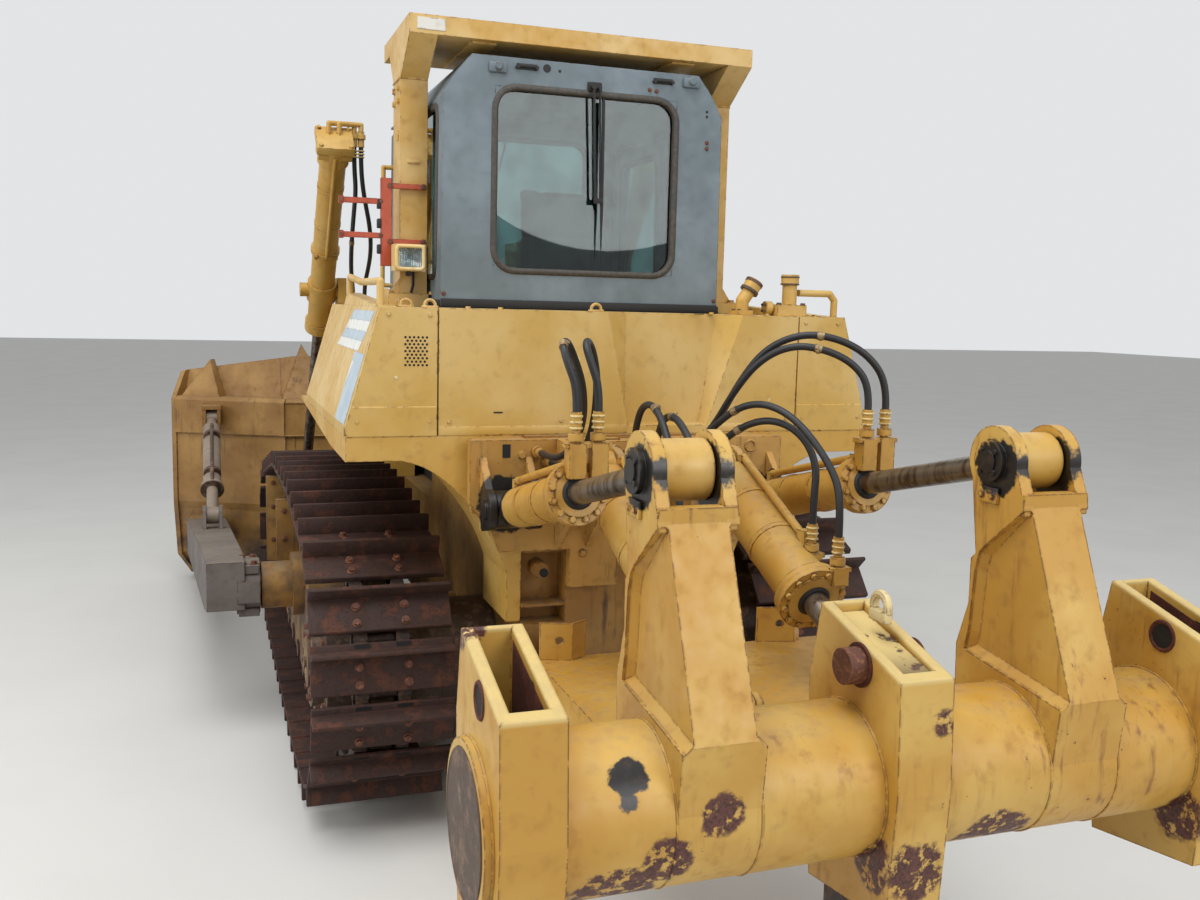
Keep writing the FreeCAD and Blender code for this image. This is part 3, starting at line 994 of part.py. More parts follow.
# the two pins are the ends of one cross shaft, with a head outside each ear
EAR_INNER = ARM_PLATE_X - ARM_PLATE / 2 - MOVING_GAP - 30
EAR_OUTER = ARM_PLATE_X + ARM_PLATE / 2 + MOVING_GAP + 30
SHAFT_R = 80.0
PIN_HEAD = 38.0
keep("ripper_pins", fuse([
    cyl_x(*beam_pivot, 45, -EAR_OUTER - PIN_HEAD, EAR_OUTER + PIN_HEAD),
    cyl_x(*beam_pivot, SHAFT_R, -EAR_INNER + 2 * FIT, EAR_INNER - 2 * FIT),
    cyl_x(*beam_pivot, SHAFT_R, EAR_OUTER + 2 * FIT, EAR_OUTER + PIN_HEAD),
    cyl_x(*beam_pivot, SHAFT_R, -EAR_OUTER - PIN_HEAD, -EAR_OUTER - 2 * FIT),
]))

# beam with its pockets, towers and hinge ears
pocket_profile = [(-2439, 1532), (-2842, 1420), (-2858, 1110), (-2835, 760), (-2440, 700), (-2400, 900), (-2392, 1300)]


RIM_ROUND = 9.0


def pocket_slot(x):
    half = POCKET_SLOT / 2
    return prism_x([(-2455, 1600), (-2800, 1500), (-2795, 600), (-2455, 600)], x - half, x + half)


def pocket(x):
    """Box pocket with its slot cut and the rim of the slot's upper mouth rounded."""
    half = POCKET_OUTER / 2
    solid = prism_x(pocket_profile, x - half, x + half).cut(pocket_slot(x))
    front, rear = pocket_profile[0], pocket_profile[1]
    fall = (front[1] - rear[1]) / (front[0] - rear[0])
    rim = [e for e in solid.Edges
           if all(abs(v.Z - (front[1] + fall * (v.Y - front[0]))) < 0.5 for v in e.Vertexes)]
    return solid.makeFillet(RIM_ROUND, rim)


tower_profile = [
    (-2618, 1824), (-2830, 1301), (-2812, 1119), (-2603, 1080), (-2370, 1214), (-2364, 1345), (-2410, 1485), (-2407, 1623), (-2440, 1655),
]
tower = prism_x(tower_profile, TOWER_X - TOWER_WIDTH / 2, TOWER_X + TOWER_WIDTH / 2)
# each side is dished between the ear, the front flange and the shoulder, with sloping walls
TOWER_NECK = 172.0
DISH_SLOPE = 22.0
dish_outline = [
    (-2690, 1822), (-2612, 1822), (-2446, 1652), (-2430, 1596), (-2418, 1400), (-2402, 1336), (-2800, 1290), (-2860, 1283),
]
for side in (-1, 1):
    floor_x = TOWER_X + side * TOWER_NECK / 2
    dish = prism_x(dish_outline, floor_x, TOWER_X + side * (TOWER_WIDTH / 2 + 1))
    floor_edges = [e for e in dish.Edges if all(abs(v.X - floor_x) < 0.01 for v in e.Vertexes)]
    tower = tower.cut(dish.makeChamfer(DISH_SLOPE, floor_edges))
lip = box(TOWER_X - 112, TOWER_X + 112, -2622, -2574, 1790, 1852)
tower = fuse([tower, lip])
ear_profile = [(-2624, 1806), (-2428, 1640), (-2385, 1900), (-2395, 1980), (-2560, 1990), (-2578, 1931), (-2620, 1836)]
ear = fuse([prism_x(ear_profile, TOWER_X - TOWER_WIDTH / 2, TOWER_X - TOWER_WIDTH / 2 + EAR_THICK),
            cyl_x(TOWER_PIN_Y, TOWER_PIN_Z, 106, TOWER_X - TOWER_WIDTH / 2, TOWER_X - TOWER_WIDTH / 2 + EAR_THICK)])
ear_far = ear.translated(Vector(TOWER_WIDTH - EAR_THICK, 0, 0))
tower_pin = fuse([cyl_x(TOWER_PIN_Y, TOWER_PIN_Z, 62, TOWER_X - TOWER_WIDTH / 2 - 18, TOWER_X - TOWER_WIDTH / 2), cyl_x(TOWER_PIN_Y, TOWER_PIN_Z, 62, TOWER_X + TOWER_WIDTH / 2, TOWER_X + TOWER_WIDTH / 2 + 18)])
hinge_ears = []
for x in (ARM_PLATE_X - ARM_PLATE / 2 - MOVING_GAP - 30, ARM_PLATE_X + ARM_PLATE / 2 + MOVING_GAP):
    hinge_ears.append(prism_x([(BEAM_Y + 60, BEAM_Z + 120), (BEAM_PIVOT_Y - 30, BEAM_PIVOT_Z + 80), (BEAM_PIVOT_Y + 70, BEAM_PIVOT_Z + 30),
                               (BEAM_PIVOT_Y + 70, BEAM_PIVOT_Z - 30), (BEAM_PIVOT_Y - 30, BEAM_PIVOT_Z - 80), (BEAM_Y + 60, BEAM_Z - 160)], x, x + 30).cut(cyl_x(*beam_pivot, 45 + FIT, 300, 500)))
# the round beam is turned about its axis so that its seam lies out of the towers' way
SEAM_TURN = 60.0
round_beam = cyl_x(BEAM_Y, BEAM_Z, BEAM_R, -BEAM_HALF, BEAM_HALF)
round_beam.rotate(Vector(0, BEAM_Y, BEAM_Z), Vector(1, 0, 0), SEAM_TURN)
beam = fuse([round_beam] + [pocket(x) for x in (-POCKET_X, 0, POCKET_X)]
            + pair(tower) + pair(ear) + pair(ear_far) + pair(tower_pin) + [s for e in hinge_ears for s in pair(e)])
for x in (-POCKET_X, 0, POCKET_X):
    beam = beam.cut(pocket_slot(x))
    beam = beam.cut(cyl_x(SHANK_PIN_Y, SHANK_PIN_Z, SHANK_PIN_R + FIT, x - 120, x + 120))
keep("ripper_beam", beam)

# one shank in the middle pocket, held by its pin
SHANK_TIP_Z = 25.0
shank = prism_x([(-2460, 1500), (-2793, 1420), (-2788, 640), (-2760, 330), (-2640, 160), (-2420, SHANK_TIP_Z), (-2400, 60), (-2500, 260), (-2470, 560)], -SHANK_THICK / 2, SHANK_THICK / 2)
shank = shank.cut(cyl_x(SHANK_PIN_Y, SHANK_PIN_Z, SHANK_PIN_R + FIT, -60, 60))
keep("ripper_shank", shank)
keep("shank_pin", fuse([cyl_x(SHANK_PIN_Y, SHANK_PIN_Z, SHANK_PIN_R, -118, 105), cyl_x(SHANK_PIN_Y, SHANK_PIN_Z, 50, -140, -POCKET_OUTER / 2)]))

# ports of the four ripper cylinders, columns: X off the axis, Y, Z where the hose begins, Y and top Z of the block
TILT_PORTS = [(-12.0, -1642.0, 2005.0), (72.0, -1628.0, 2005.0)]
LIFT_PORTS = [(54.0, -1690.0, 1597.0), (79.0, -1830.0, 1575.0)]


def cylinder(x, base, tip, barrel_length, barrel_r, rod_r, eye_r, eye_pin, base_half, tip_half, ports):
    """Barrel with its eye, flange, bolts, ports and fittings, and the rod with its eye."""
    length = math.hypot(tip[0] - base[0], tip[1] - base[1])
    base_eye_r, tip_eye_r = eye_r
    gland = along(base, tip, barrel_length)
    parts = [
        tube_between(along(base, tip, base_eye_r + 40), gland, x, barrel_r),
        tube_between(base, along(base, tip, base_eye_r + 50), x, base_half - 2),
        tube_between(along(base, tip, barrel_length - 62), along(base, tip, barrel_length - 34), x, barrel_r + 25),
        tube_between(along(base, tip, barrel_length - 34), along(base, tip, barrel_length - 8), x, barrel_r + 27),
        tube_between(along(base, tip, barrel_length - 20), gland, x, rod_r + 22),
        cyl_x(*base, base_eye_r, x - base_half, x + base_half),
    ]
    run = ((tip[0] - base[0]) / length, (tip[1] - base[1]) / length)
    # twelve bolt heads round the flange
    for k in range(12):
        turn = 2 * math.pi * (k + 0.5) / 12
        off_x = (barrel_r + 10) * math.sin(turn)
        off = (barrel_r + 10) * math.cos(turn)
        near = along(base, tip, barrel_length - 10)
        far = along(base, tip, barrel_length + 6)
        up = (-run[1] * off, run[0] * off)
        parts.append(cyl((x + off_x, near[0] + up[0], near[1] + up[1]), (x + off_x, far[0] + up[0], far[1] + up[1]), 11))
    for off_x, y, z in ports:
        share = (y - base[0]) / (tip[0] - base[0])
        axis_z = base[1] + (tip[1] - base[1]) * share
        block_top = z - 105
        parts.append(box(x + off_x - 30, x + off_x + 30, y - 30, y + 30, axis_z + barrel_r * 0.65, block_top))
        parts.append(box(x + off_x - 42, x + off_x + 42, y - 26, y + 26, block_top - 16, block_top))
        parts.append(fitting((x + off_x, y, z), (0, 0, 1), 106))
    # steel pipe from the first port along the barrel to its base
    off_x, y, z = ports[0]
    share = (y - base[0]) / (tip[0] - base[0])
    offset_z = barrel_r + 22
    start = (y + 60, base[1] + (tip[1] - base[1]) * ((y + 60 - base[0]) / (tip[0] - base[0])) + offset_z)
    end = along(base, tip, base_eye_r + 75)
    end = (end[0], end[1] + offset_z)
    parts.append(tube_between(start, end, x + off_x - 10, 15))
    parts.append(box(x + off_x - 26, x + off_x + 6, end[0] - 18, end[0] + 18, end[1] - 40, end[1] + 6))
    parts.append(box(x + off_x - 28, x + off_x + 8, start[0] - 55, start[0] + 4, start[1] - 40, start[1] + 17))
    body = fuse(parts)
    bore_start = along(base, tip, base_eye_r + 70)
    body = body.cut(tube_between(bore_start, along(base, tip, barrel_length + 5), x, rod_r + FIT))
    body = body.cut(cyl_x(*base, eye_pin + FIT, x - 200, x + 200))
    rod_start = along(base, tip, barrel_length - 120)
    rod_solid = fuse([
        tube_between(rod_start, along(base, tip, length - tip_eye_r + 15), x, rod_r),
        cyl_x(*tip, tip_eye_r, x - tip_half, x + tip_half),
    ])
    return body, rod_solid


tilt_pins = ((TILT_PIN_Y, TILT_PIN_Z), (TOWER_PIN_Y, TOWER_PIN_Z))
lift_pins = ((RLIFT_PIN_Y, RLIFT_PIN_Z), (RLIFT_ROD_Y, RLIFT_ROD_Z))
tilt_bodies = []
tilt_rods = []
lift_bodies = []
lift_rods = []
for side in (-1, 1):
    body, rod = cylinder(side * TOWER_X, *tilt_pins, TILT_BARREL_LENGTH, TILT_BARREL_R, TILT_ROD_R,
                         (78, 84), 40, TILT_EYE_HALF, TOWER_EYE_HALF, TILT_PORTS)
    tilt_bodies.append(body)
    tilt_rods.append(rod)
    body, rod = cylinder(side * RLIFT_X, *lift_pins, RLIFT_BARREL_LENGTH, RLIFT_BARREL_R, RLIFT_ROD_R,
                         (76, 62), 40, RLIFT_EYE_HALF, RLIFT_EYE_HALF, LIFT_PORTS)
    lift_bodies.append(body)
    lift_rods.append(rod)
keep("tilt_barrels", *tilt_bodies)
keep("tilt_rods", *tilt_rods)
keep("ripper_lift_barrels", *lift_bodies)
keep("ripper_lift_rods", *lift_rods)


# Hoses.
def hose(name, points):
    """Hose along straight runs joined by tangent arcs, from its first point to its last."""
    pts = [Vector(*p) for p in points]
    edges = []
    radii = []
    start = pts[0]
    for before, corner, after in zip(pts, pts[1:], pts[2:]):
        back = before - corner
        ahead = after - corner
        run = min(back.Length, ahead.Length)
        back.normalize()
        ahead.normalize()
        half_turn = (math.pi - back.getAngle(ahead)) / 2
        radius = 0.45 * run / math.tan(half_turn)
        bisector = back + ahead
        bisector.normalize()
        centre_distance = radius / math.cos(half_turn)
        arc_start = corner + back * (0.45 * run)
        arc_end = corner + ahead * (0.45 * run)
        arc_mid = corner + bisector * (centre_distance - radius)
        edges.append(Part.LineSegment(start, arc_start).toShape())
        edges.append(Part.Arc(arc_start, arc_mid, arc_end).toShape())
        radii.append(round(radius))
        start = arc_end
    edges.append(Part.LineSegment(start, pts[-1]).toShape())
    wire = Part.Wire(edges)
    circle = Part.Wire([Part.Circle(pts[0], pts[1] - pts[0], HOSE_R).toShape()])
    solid = wire.makePipeShell([circle], True, False)
    expected = math.pi * HOSE_R ** 2 * wire.Length
    print(name, "length", round(wire.Length), "radii", radii, "volume ratio", round(solid.Volume / expected, 4))
    keep(name, solid)


x_tilt = TOWER_X
x_lift = RLIFT_X
hose("hose_tilt_right_a", [
    (x_tilt - 12, -1642, 2005), (x_tilt - 12, -1642, 2090), (500, -1622, 2170), (400, -1585, 2222), (290, -1520, 2235),
    (200, -1440, 2172), (150, -1340, 2045), (128, -1220, 1900), (108, -1080, 1800), (100, -930, 1750), (100, -790, 1750),
])
hose("hose_tilt_right_b", [
    (x_tilt + 72, -1628, 2005), (x_tilt + 72, -1628, 2100), (570, -1610, 2200), (462, -1570, 2262), (340, -1505, 2278),
    (236, -1420, 2216), (184, -1320, 2085), (164, -1200, 1932), (146, -1070, 1822), (140, -930, 1760), (140, -790, 1760),
])
hose("hose_tilt_left_a", [
    (-x_tilt - 12, -1642, 2005), (-x_tilt - 12, -1642, 2085), (-608, -1634, 2165), (-618, -1600, 2230),
    (-585, -1545, 2240), (-540, -1490, 2185), (-482, -1425, 2080), (-440, -1320, 1945), (-430, -1190, 1840),
    (-430, -1050, 1775), (-430, -900, 1745), (-430, -750, 1745),
])
hose("hose_tilt_left_b", [
    (-x_tilt + 72, -1628, 2005), (-x_tilt + 72, -1628, 2085), (-520, -1618, 2165), (-532, -1590, 2226),
    (-508, -1540, 2243), (-466, -1485, 2195), (-426, -1420, 2085), (-398, -1310, 1930), (-388, -1180, 1810),
    (-386, -1040, 1735), (-386, -900, 1705), (-386, -750, 1705),
])
hose("hose_lift_right_a", [
    (x_lift + 54, -1690, 1597), (x_lift + 54, -1690, 1697), (328, -1680, 1800), (308, -1640, 1889), (262, -1575, 1946),
    (206, -1500, 1958), (152, -1410, 1920), (108, -1310, 1840), (76, -1190, 1755), (60, -1050, 1700), (60, -915, 1680),
    (60, -790, 1680),
])
hose("hose_lift_right_b", [
    (x_lift + 79, -1830, 1575), (x_lift + 79, -1830, 1665), (345, -1800, 1762), (318, -1740, 1854), (278, -1665, 1940),
    (236, -1590, 1996), (186, -1500, 2020), (134, -1405, 1992), (86, -1300, 1905), (44, -1190, 1815), (20, -1060, 1760),
    (16, -920, 1740), (16, -790, 1740),
])
hose("hose_lift_left_a", [
    (-x_lift + 54, -1690, 1597), (-x_lift + 54, -1690, 1690), (-204, -1635, 1790), (-194, -1545, 1872), (-184, -1450, 1950),
    (-184, -1355, 2004), (-190, -1265, 1990), (-180, -1185, 1915), (-150, -1090, 1830), (-116, -980, 1775),
    (-104, -880, 1750), (-104, -790, 1750),
])
hose("hose_lift_left_b", [
    (-x_lift + 79, -1830, 1575), (-x_lift + 79, -1830, 1660), (-176, -1780, 1752), (-156, -1690, 1845), (-148, -1585, 1925),
    (-146, -1470, 1972), (-138, -1350, 1952), (-112, -1240, 1875), (-80, -1130, 1790), (-64, -1010, 1722),
    (-60, -900, 1690), (-60, -790, 1690),
])
LIFT_HOSE_TOP = 3262.0
hose("hose_blade_left_a", [
    (-878, 1760, LIFT_HOSE_TOP), (-878, 1760, 3140), (-864, 1796, 3020), (-868, 1850, 2900), (-872, 1910, 2770),
    (-868, 2000, 2640), (-852, 2130, 2540), (-830, 2260, 2480), (-812, 2360, 2425), (-812, 2360, 2360),
])
hose("hose_blade_left_b", [
    (-838, 1760, LIFT_HOSE_TOP), (-838, 1760, 3145), (-822, 1800, 3030), (-796, 1860, 2930), (-766, 1930, 2830),
    (-744, 2020, 2730), (-732, 2130, 2640), (-730, 2250, 2560), (-738, 2360, 2460), (-738, 2360, 2360),
])

# Shift to the origin and write.
low_y = min(shape.BoundBox.YMin for shape in nodes.values())
high_y = max(shape.BoundBox.YMax for shape in nodes.values())
SHIFT_Y = -(low_y + high_y) / 2
os.makedirs("parts", exist_ok=True)
for name, shape in nodes.items():
    moved = shape.translated(Vector(0, SHIFT_Y, 0))
    moved.exportStep("parts/" + name + ".step")
print("shift along Y", round(SHIFT_Y, 3), "length", round(high_y - low_y, 1), "nodes", len(nodes))
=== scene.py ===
import json
import math

import bmesh
import bpy
from mathutils import Matrix, Vector
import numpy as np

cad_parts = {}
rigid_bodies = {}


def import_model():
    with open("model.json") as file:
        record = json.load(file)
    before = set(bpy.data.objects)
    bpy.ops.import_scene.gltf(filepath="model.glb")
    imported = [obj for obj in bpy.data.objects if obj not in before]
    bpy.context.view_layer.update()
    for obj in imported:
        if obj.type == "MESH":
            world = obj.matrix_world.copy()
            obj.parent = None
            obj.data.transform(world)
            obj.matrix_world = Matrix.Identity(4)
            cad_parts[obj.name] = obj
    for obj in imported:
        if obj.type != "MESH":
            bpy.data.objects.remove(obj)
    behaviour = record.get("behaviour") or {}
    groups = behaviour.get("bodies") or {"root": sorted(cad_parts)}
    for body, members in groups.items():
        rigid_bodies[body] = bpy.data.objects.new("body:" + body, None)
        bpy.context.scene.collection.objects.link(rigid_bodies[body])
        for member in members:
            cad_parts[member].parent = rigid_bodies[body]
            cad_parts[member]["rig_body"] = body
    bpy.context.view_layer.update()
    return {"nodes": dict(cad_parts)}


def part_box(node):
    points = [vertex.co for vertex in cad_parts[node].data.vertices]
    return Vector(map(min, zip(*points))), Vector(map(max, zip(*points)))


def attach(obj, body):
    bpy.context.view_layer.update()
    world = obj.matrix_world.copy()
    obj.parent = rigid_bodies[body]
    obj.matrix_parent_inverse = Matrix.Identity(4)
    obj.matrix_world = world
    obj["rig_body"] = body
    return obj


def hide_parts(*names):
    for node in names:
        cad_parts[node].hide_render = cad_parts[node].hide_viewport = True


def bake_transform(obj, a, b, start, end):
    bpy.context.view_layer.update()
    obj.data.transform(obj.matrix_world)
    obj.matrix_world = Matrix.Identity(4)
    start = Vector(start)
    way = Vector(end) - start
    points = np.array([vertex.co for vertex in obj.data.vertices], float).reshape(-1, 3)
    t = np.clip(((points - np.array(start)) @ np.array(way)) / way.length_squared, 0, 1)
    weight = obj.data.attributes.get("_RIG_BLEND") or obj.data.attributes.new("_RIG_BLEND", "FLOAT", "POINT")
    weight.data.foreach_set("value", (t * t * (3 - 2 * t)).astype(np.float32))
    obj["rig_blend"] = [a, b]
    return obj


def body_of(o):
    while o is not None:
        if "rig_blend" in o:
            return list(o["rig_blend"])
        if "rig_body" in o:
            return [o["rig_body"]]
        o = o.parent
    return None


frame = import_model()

# Places are written in millimetres from the sprocket axle, X right, Y forward, Z up,
# as on the CAD drawing; DRAWING_SHIFT takes them to the frame of model.glb.
CAB_REAR = 20.0
CAB_FRONT = 1500.0
TANK_TOP = 2335
# The ripper's tilt and lift cylinders stand this far left and right; the lines run from base pin to rod eye.
TILT_X = 565
LIFT_X = 262
POCKETS = (-1058, 0, 1058)
BEAM_AXIS = (-2603, 1073)
SHANK_PIN = (-2652, 1408)
TILT_LINE = ((-800, 1524), (-2477, 1931))
RIPPER_LIFT_LINE = ((-1000, 1708), (-2260, 1150))
TILT_EYE_PIN = TILT_LINE[1]
LIFT_EYE_PIN = RIPPER_LIFT_LINE[1]
SPROCKET_AXLE = (0, 690)
IDLER_AXLE = (3240, 590)
DRAWING_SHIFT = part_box("cab_shell")[0][1] * 1000.0 - CAB_REAR


def spot(x, y, z):
    """Place on the drawing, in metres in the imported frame."""
    return Vector((x, y + DRAWING_SHIFT, z)) / 1000.0


def linear(text):
    """sRGB hex colour as linear RGBA."""
    channels = [int(text[i:i + 2], 16) / 255.0 for i in (1, 3, 5)]
    return tuple(c / 12.92 if c <= 0.04045 else ((c + 0.055) / 1.055) ** 2.4 for c in channels) + (1.0,)


def feed(tree, node, **inputs):
    """Give a node's inputs a value or another node's output; i0 is its first input."""
    for key, value in inputs.items():
        socket = node.inputs[int(key[1:]) if key[1:].isdigit() else key.replace("_", " ")]
        if isinstance(value, bpy.types.NodeSocket):
            tree.links.new(value, socket)
        else:
            socket.default_value = value
    return node


# Short words for the nodes used most: kind, settings, its inputs in order, and the output that is read.
# "over" takes the colour below, the colour above and 1 where the one above shows; "step" is a smooth ramp
# from 0 below its first bound to 1 above its second.
SHORT = {
    "multiply": ("ShaderNodeMath", {"operation": "MULTIPLY", "use_clamp": True}, (0, 1), 0),
    "subtract": ("ShaderNodeMath", {"operation": "SUBTRACT", "use_clamp": True}, (0, 1), 0),
    "maximum": ("ShaderNodeMath", {"operation": "MAXIMUM", "use_clamp": True}, (0, 1), 0),
    "over": ("ShaderNodeMix", {"data_type": "RGBA"}, (6, 7, 0), 2),
    "step": ("ShaderNodeMapRange", {"interpolation_type": "SMOOTHSTEP"}, (0, 1, 2), 0),
}


def add(tree, kind, *given, **inputs):
    """Add one node with its settings and inputs; a short word takes its inputs in order and gives its output."""
    output = None
    settings = given[0] if given and kind not in SHORT else {}
    if kind in SHORT:
        kind, settings, sockets, output = SHORT[kind]
        inputs = {"i%d" % socket: value for socket, value in zip(sockets, given)}
    made = tree.nodes.new(kind)
    for key, value in settings.items():
        setattr(made, key, value)
    feed(tree, made, **inputs)
    return made if output is None else made.outputs[output]


def new_finish(name):
    """Empty material with its Principled shader and Object coordinates."""
    material = bpy.data.materials.new(name)
    material.use_nodes = True
    tree = material.node_tree
    tree.nodes.clear()
    shader = add(tree, "ShaderNodeBsdfPrincipled")
    output = add(tree, "ShaderNodeOutputMaterial")
    tree.links.new(shader.outputs["BSDF"], output.inputs["Surface"])
    place = add(tree, "ShaderNodeTexCoord").outputs["Object"]
    return material, tree, shader, place


def grain(tree, place, size_mm, detail=4.0, rough=0.55, stretch=(1.0, 1.0, 1.0)):
    """Noise whose blotches are about size_mm across, drawn out along an axis by stretch."""
    scaled = add(tree, "ShaderNodeMapping", i0=place, Scale=tuple(1.0 / s for s in stretch))
    return add(tree, "ShaderNodeTexNoise", Vector=scaled.outputs[0], Scale=1000.0 / size_mm, Detail=detail,
               Roughness=rough).outputs["Fac"]


def edge_line(tree, radius_mm):
    """1 along the edges of the solid, within about radius_mm, and 0 on flats."""
    rounded = add(tree, "ShaderNodeBevel", {"samples": 4}, Radius=radius_mm / 1000.0)
    flat = add(tree, "ShaderNodeNewGeometry").outputs["Normal"]
    along = add(tree, "ShaderNodeVectorMath", {"operation": "DOT_PRODUCT"}, i0=rounded.outputs[0], i1=flat)
    return add(tree, "step", along.outputs["Value"], 0.995, 0.86)


def near_any(tree, place, spots, ragged_mm, soft_mm):
    """1 inside any of the round spots, given as (place, radius in mm), with a ragged rim."""
    found = None
    wobble = grain(tree, place, 38.0, 6.0, 0.65)
    for centre, radius in spots:
        away = add(tree, "ShaderNodeVectorMath", {"operation": "DISTANCE"}, i0=place, i1=tuple(centre)).outputs["Value"]
        moved = add(tree, "ShaderNodeMath", {"operation": "MULTIPLY_ADD"}, i0=wobble, i1=ragged_mm / 1000.0, i2=away)
        edge = (radius + ragged_mm * 0.5) / 1000.0
        inside = add(tree, "step", moved.outputs[0], edge + soft_mm / 1000.0, edge - soft_mm / 1000.0)
        found = inside if found is None else add(tree, "maximum", found, inside)
    return found


def enamel(name, base, faded, chip, streak, chips=0.5, rust=0.4, gloss=0.45, dust=0.25, greasy=(), mud_and_shade=0.0,
           painted=(), rusted=(), pale=None):
    """Sprayed machine enamel that has weathered: faded in clouds, chipped to rust at the edges, streaked below.

    Spots are (place, radius in mm): greasy holds black grease, rusted has lost its paint, and where painted
    is given the rest of the solid is a polished rod. pale marks where the top coat has bleached to cream.
    """
    material, tree, shader, place = new_finish(name)
    clouds = add(tree, "step", grain(tree, place, 420.0), 0.38, 0.66)
    colour = add(tree, "over", linear(base), linear(faded), clouds)
    mottle = grain(tree, place, 55.0, 6.0)
    darker = add(tree, "over", colour, linear(streak), add(tree, "multiply", add(tree, "step", mottle, 0.5, 0.8), 0.35))
    runs = grain(tree, place, 36.0, 5.0, 0.6, (1.0, 1.0, 9.0))
    big = grain(tree, place, 520.0, 3.0)
    run_mask = add(tree, "multiply", add(tree, "step", runs, 0.60 - 0.08 * rust, 0.74),
                   add(tree, "step", big, 0.46, 0.66))
    colour = add(tree, "over", darker, linear(streak), add(tree, "multiply", run_mask, rust))
    if pale:
        colour = add(tree, "over", colour, linear("#d0b878"), pale(tree, place))
    edges = edge_line(tree, 10.0)
    bits = grain(tree, place, 30.0, 8.0, 0.65)
    worn = add(tree, "multiply", edges, add(tree, "step", bits, 0.56 - 0.12 * chips, 0.60 - 0.12 * chips))
    thin = add(tree, "step", grain(tree, place, 24.0, 10.0, 0.7), 0.70 - 0.06 * chips, 0.72 - 0.06 * chips)
    flakes = add(tree, "multiply", thin, add(tree, "step", big, 0.50, 0.62))
    worn = add(tree, "maximum", worn, flakes)
    rusty = add(tree, "over", linear(chip), linear("#3a1d12"), add(tree, "step", grain(tree, place, 9.0), 0.45, 0.62))
    colour = add(tree, "over", colour, rusty, worn)
    normal = add(tree, "ShaderNodeNewGeometry").outputs["Normal"]
    upward = add(tree, "step", add(tree, "ShaderNodeSeparateXYZ", i0=normal).outputs["Z"], 0.6, 0.95)
    dusty = add(tree, "multiply", add(tree, "multiply", upward, add(tree, "step", mottle, 0.36, 0.62)), dust)
    colour = add(tree, "over", colour, linear("#9a8a70"), dusty)
    height = add(tree, "ShaderNodeSeparateXYZ", i0=place).outputs["Z"]
    # Mud brown darkens the low parts: mud, and on the blade's back painted shade as well.
    if mud_and_shade:
        low = add(tree, "multiply", add(tree, "step", height, mud_and_shade, mud_and_shade * 0.35),
                  add(tree, "step", grain(tree, place, 160.0, 6.0), 0.35, 0.62))
        colour = add(tree, "over", colour, linear("#4a3728"), low)
    sheen = add(tree, "ShaderNodeMapRange", Value=mottle, i1=0.3, i2=0.7, i3=gloss - 0.08, i4=gloss + 0.16)
    roughness = add(tree, "ShaderNodeMix", i0=worn, i2=sheen.outputs[0], i3=0.85).outputs[0]
    if rusted:
        bare = add(tree, "multiply", near_any(tree, place, rusted, 60.0, 8.0), add(tree, "step", bits, 0.40, 0.48))
        colour = add(tree, "over", colour, rusty, bare)
        worn = add(tree, "maximum", worn, bare)
    if painted:
        kept = near_any(tree, place, painted, 4.0, 1.5)
        wiped = add(tree, "over", linear("#82796c"), linear("#57463a"), add(tree, "step", runs, 0.44, 0.62))
        colour = add(tree, "over", wiped, colour, kept)
        roughness = add(tree, "ShaderNodeMix", i0=kept, i2=0.30, i3=roughness).outputs[0]
        metal = add(tree, "ShaderNodeMapRange", Value=kept, i1=0.0, i2=1.0, i3=0.75, i4=0.0)
        feed(tree, shader, Metallic=metal.outputs[0])
    if greasy:
        patch = near_any(tree, place, greasy, 55.0, 5.0)
        grease = add(tree, "over", linear("#16120f"), linear("#33261c"), add(tree, "step", bits, 0.5, 0.7))
        colour = add(tree, "over", colour, grease, patch)
        roughness = add(tree, "ShaderNodeMix", i0=patch, i2=roughness, i3=0.34).outputs[0]
    rounded = add(tree, "ShaderNodeBevel", {"samples": 4}, Radius=0.004)
    relief = add(tree, "subtract", add(tree, "multiply", mottle, 0.25), worn)
    bump = add(tree, "ShaderNodeBump", Strength=0.35, Distance=0.0015, Height=relief, Normal=rounded.outputs[0])
    feed(tree, shader, Base_Color=colour, Roughness=roughness, Normal=bump.outputs[0])
    return material


def pocket_rims(tree, place):
    """1 on the sloping rims round the mouths of the beam's three pockets."""
    point = spot(0, -2439, 1532)
    from_rim = add(tree, "ShaderNodeVectorMath", {"operation": "SUBTRACT"}, i0=place, i1=tuple(point)).outputs[0]
    height = add(tree, "ShaderNodeVectorMath", {"operation": "DOT_PRODUCT"}, i0=from_rim, i1=(0.0, -0.2678, 0.9635))
    top = add(tree, "step", height.outputs["Value"], -0.016, -0.006)
    across = add(tree, "ShaderNodeSeparateXYZ", i0=place).outputs["X"]
    away = add(tree, "ShaderNodeMath", {"operation": "ABSOLUTE"}, i0=across).outputs[0]
    towers = add(tree, "multiply", add(tree, "step", away, 0.10, 0.12), add(tree, "step", away, 0.95, 0.93))
    return add(tree, "multiply", add(tree, "subtract", top, towers), 0.85)


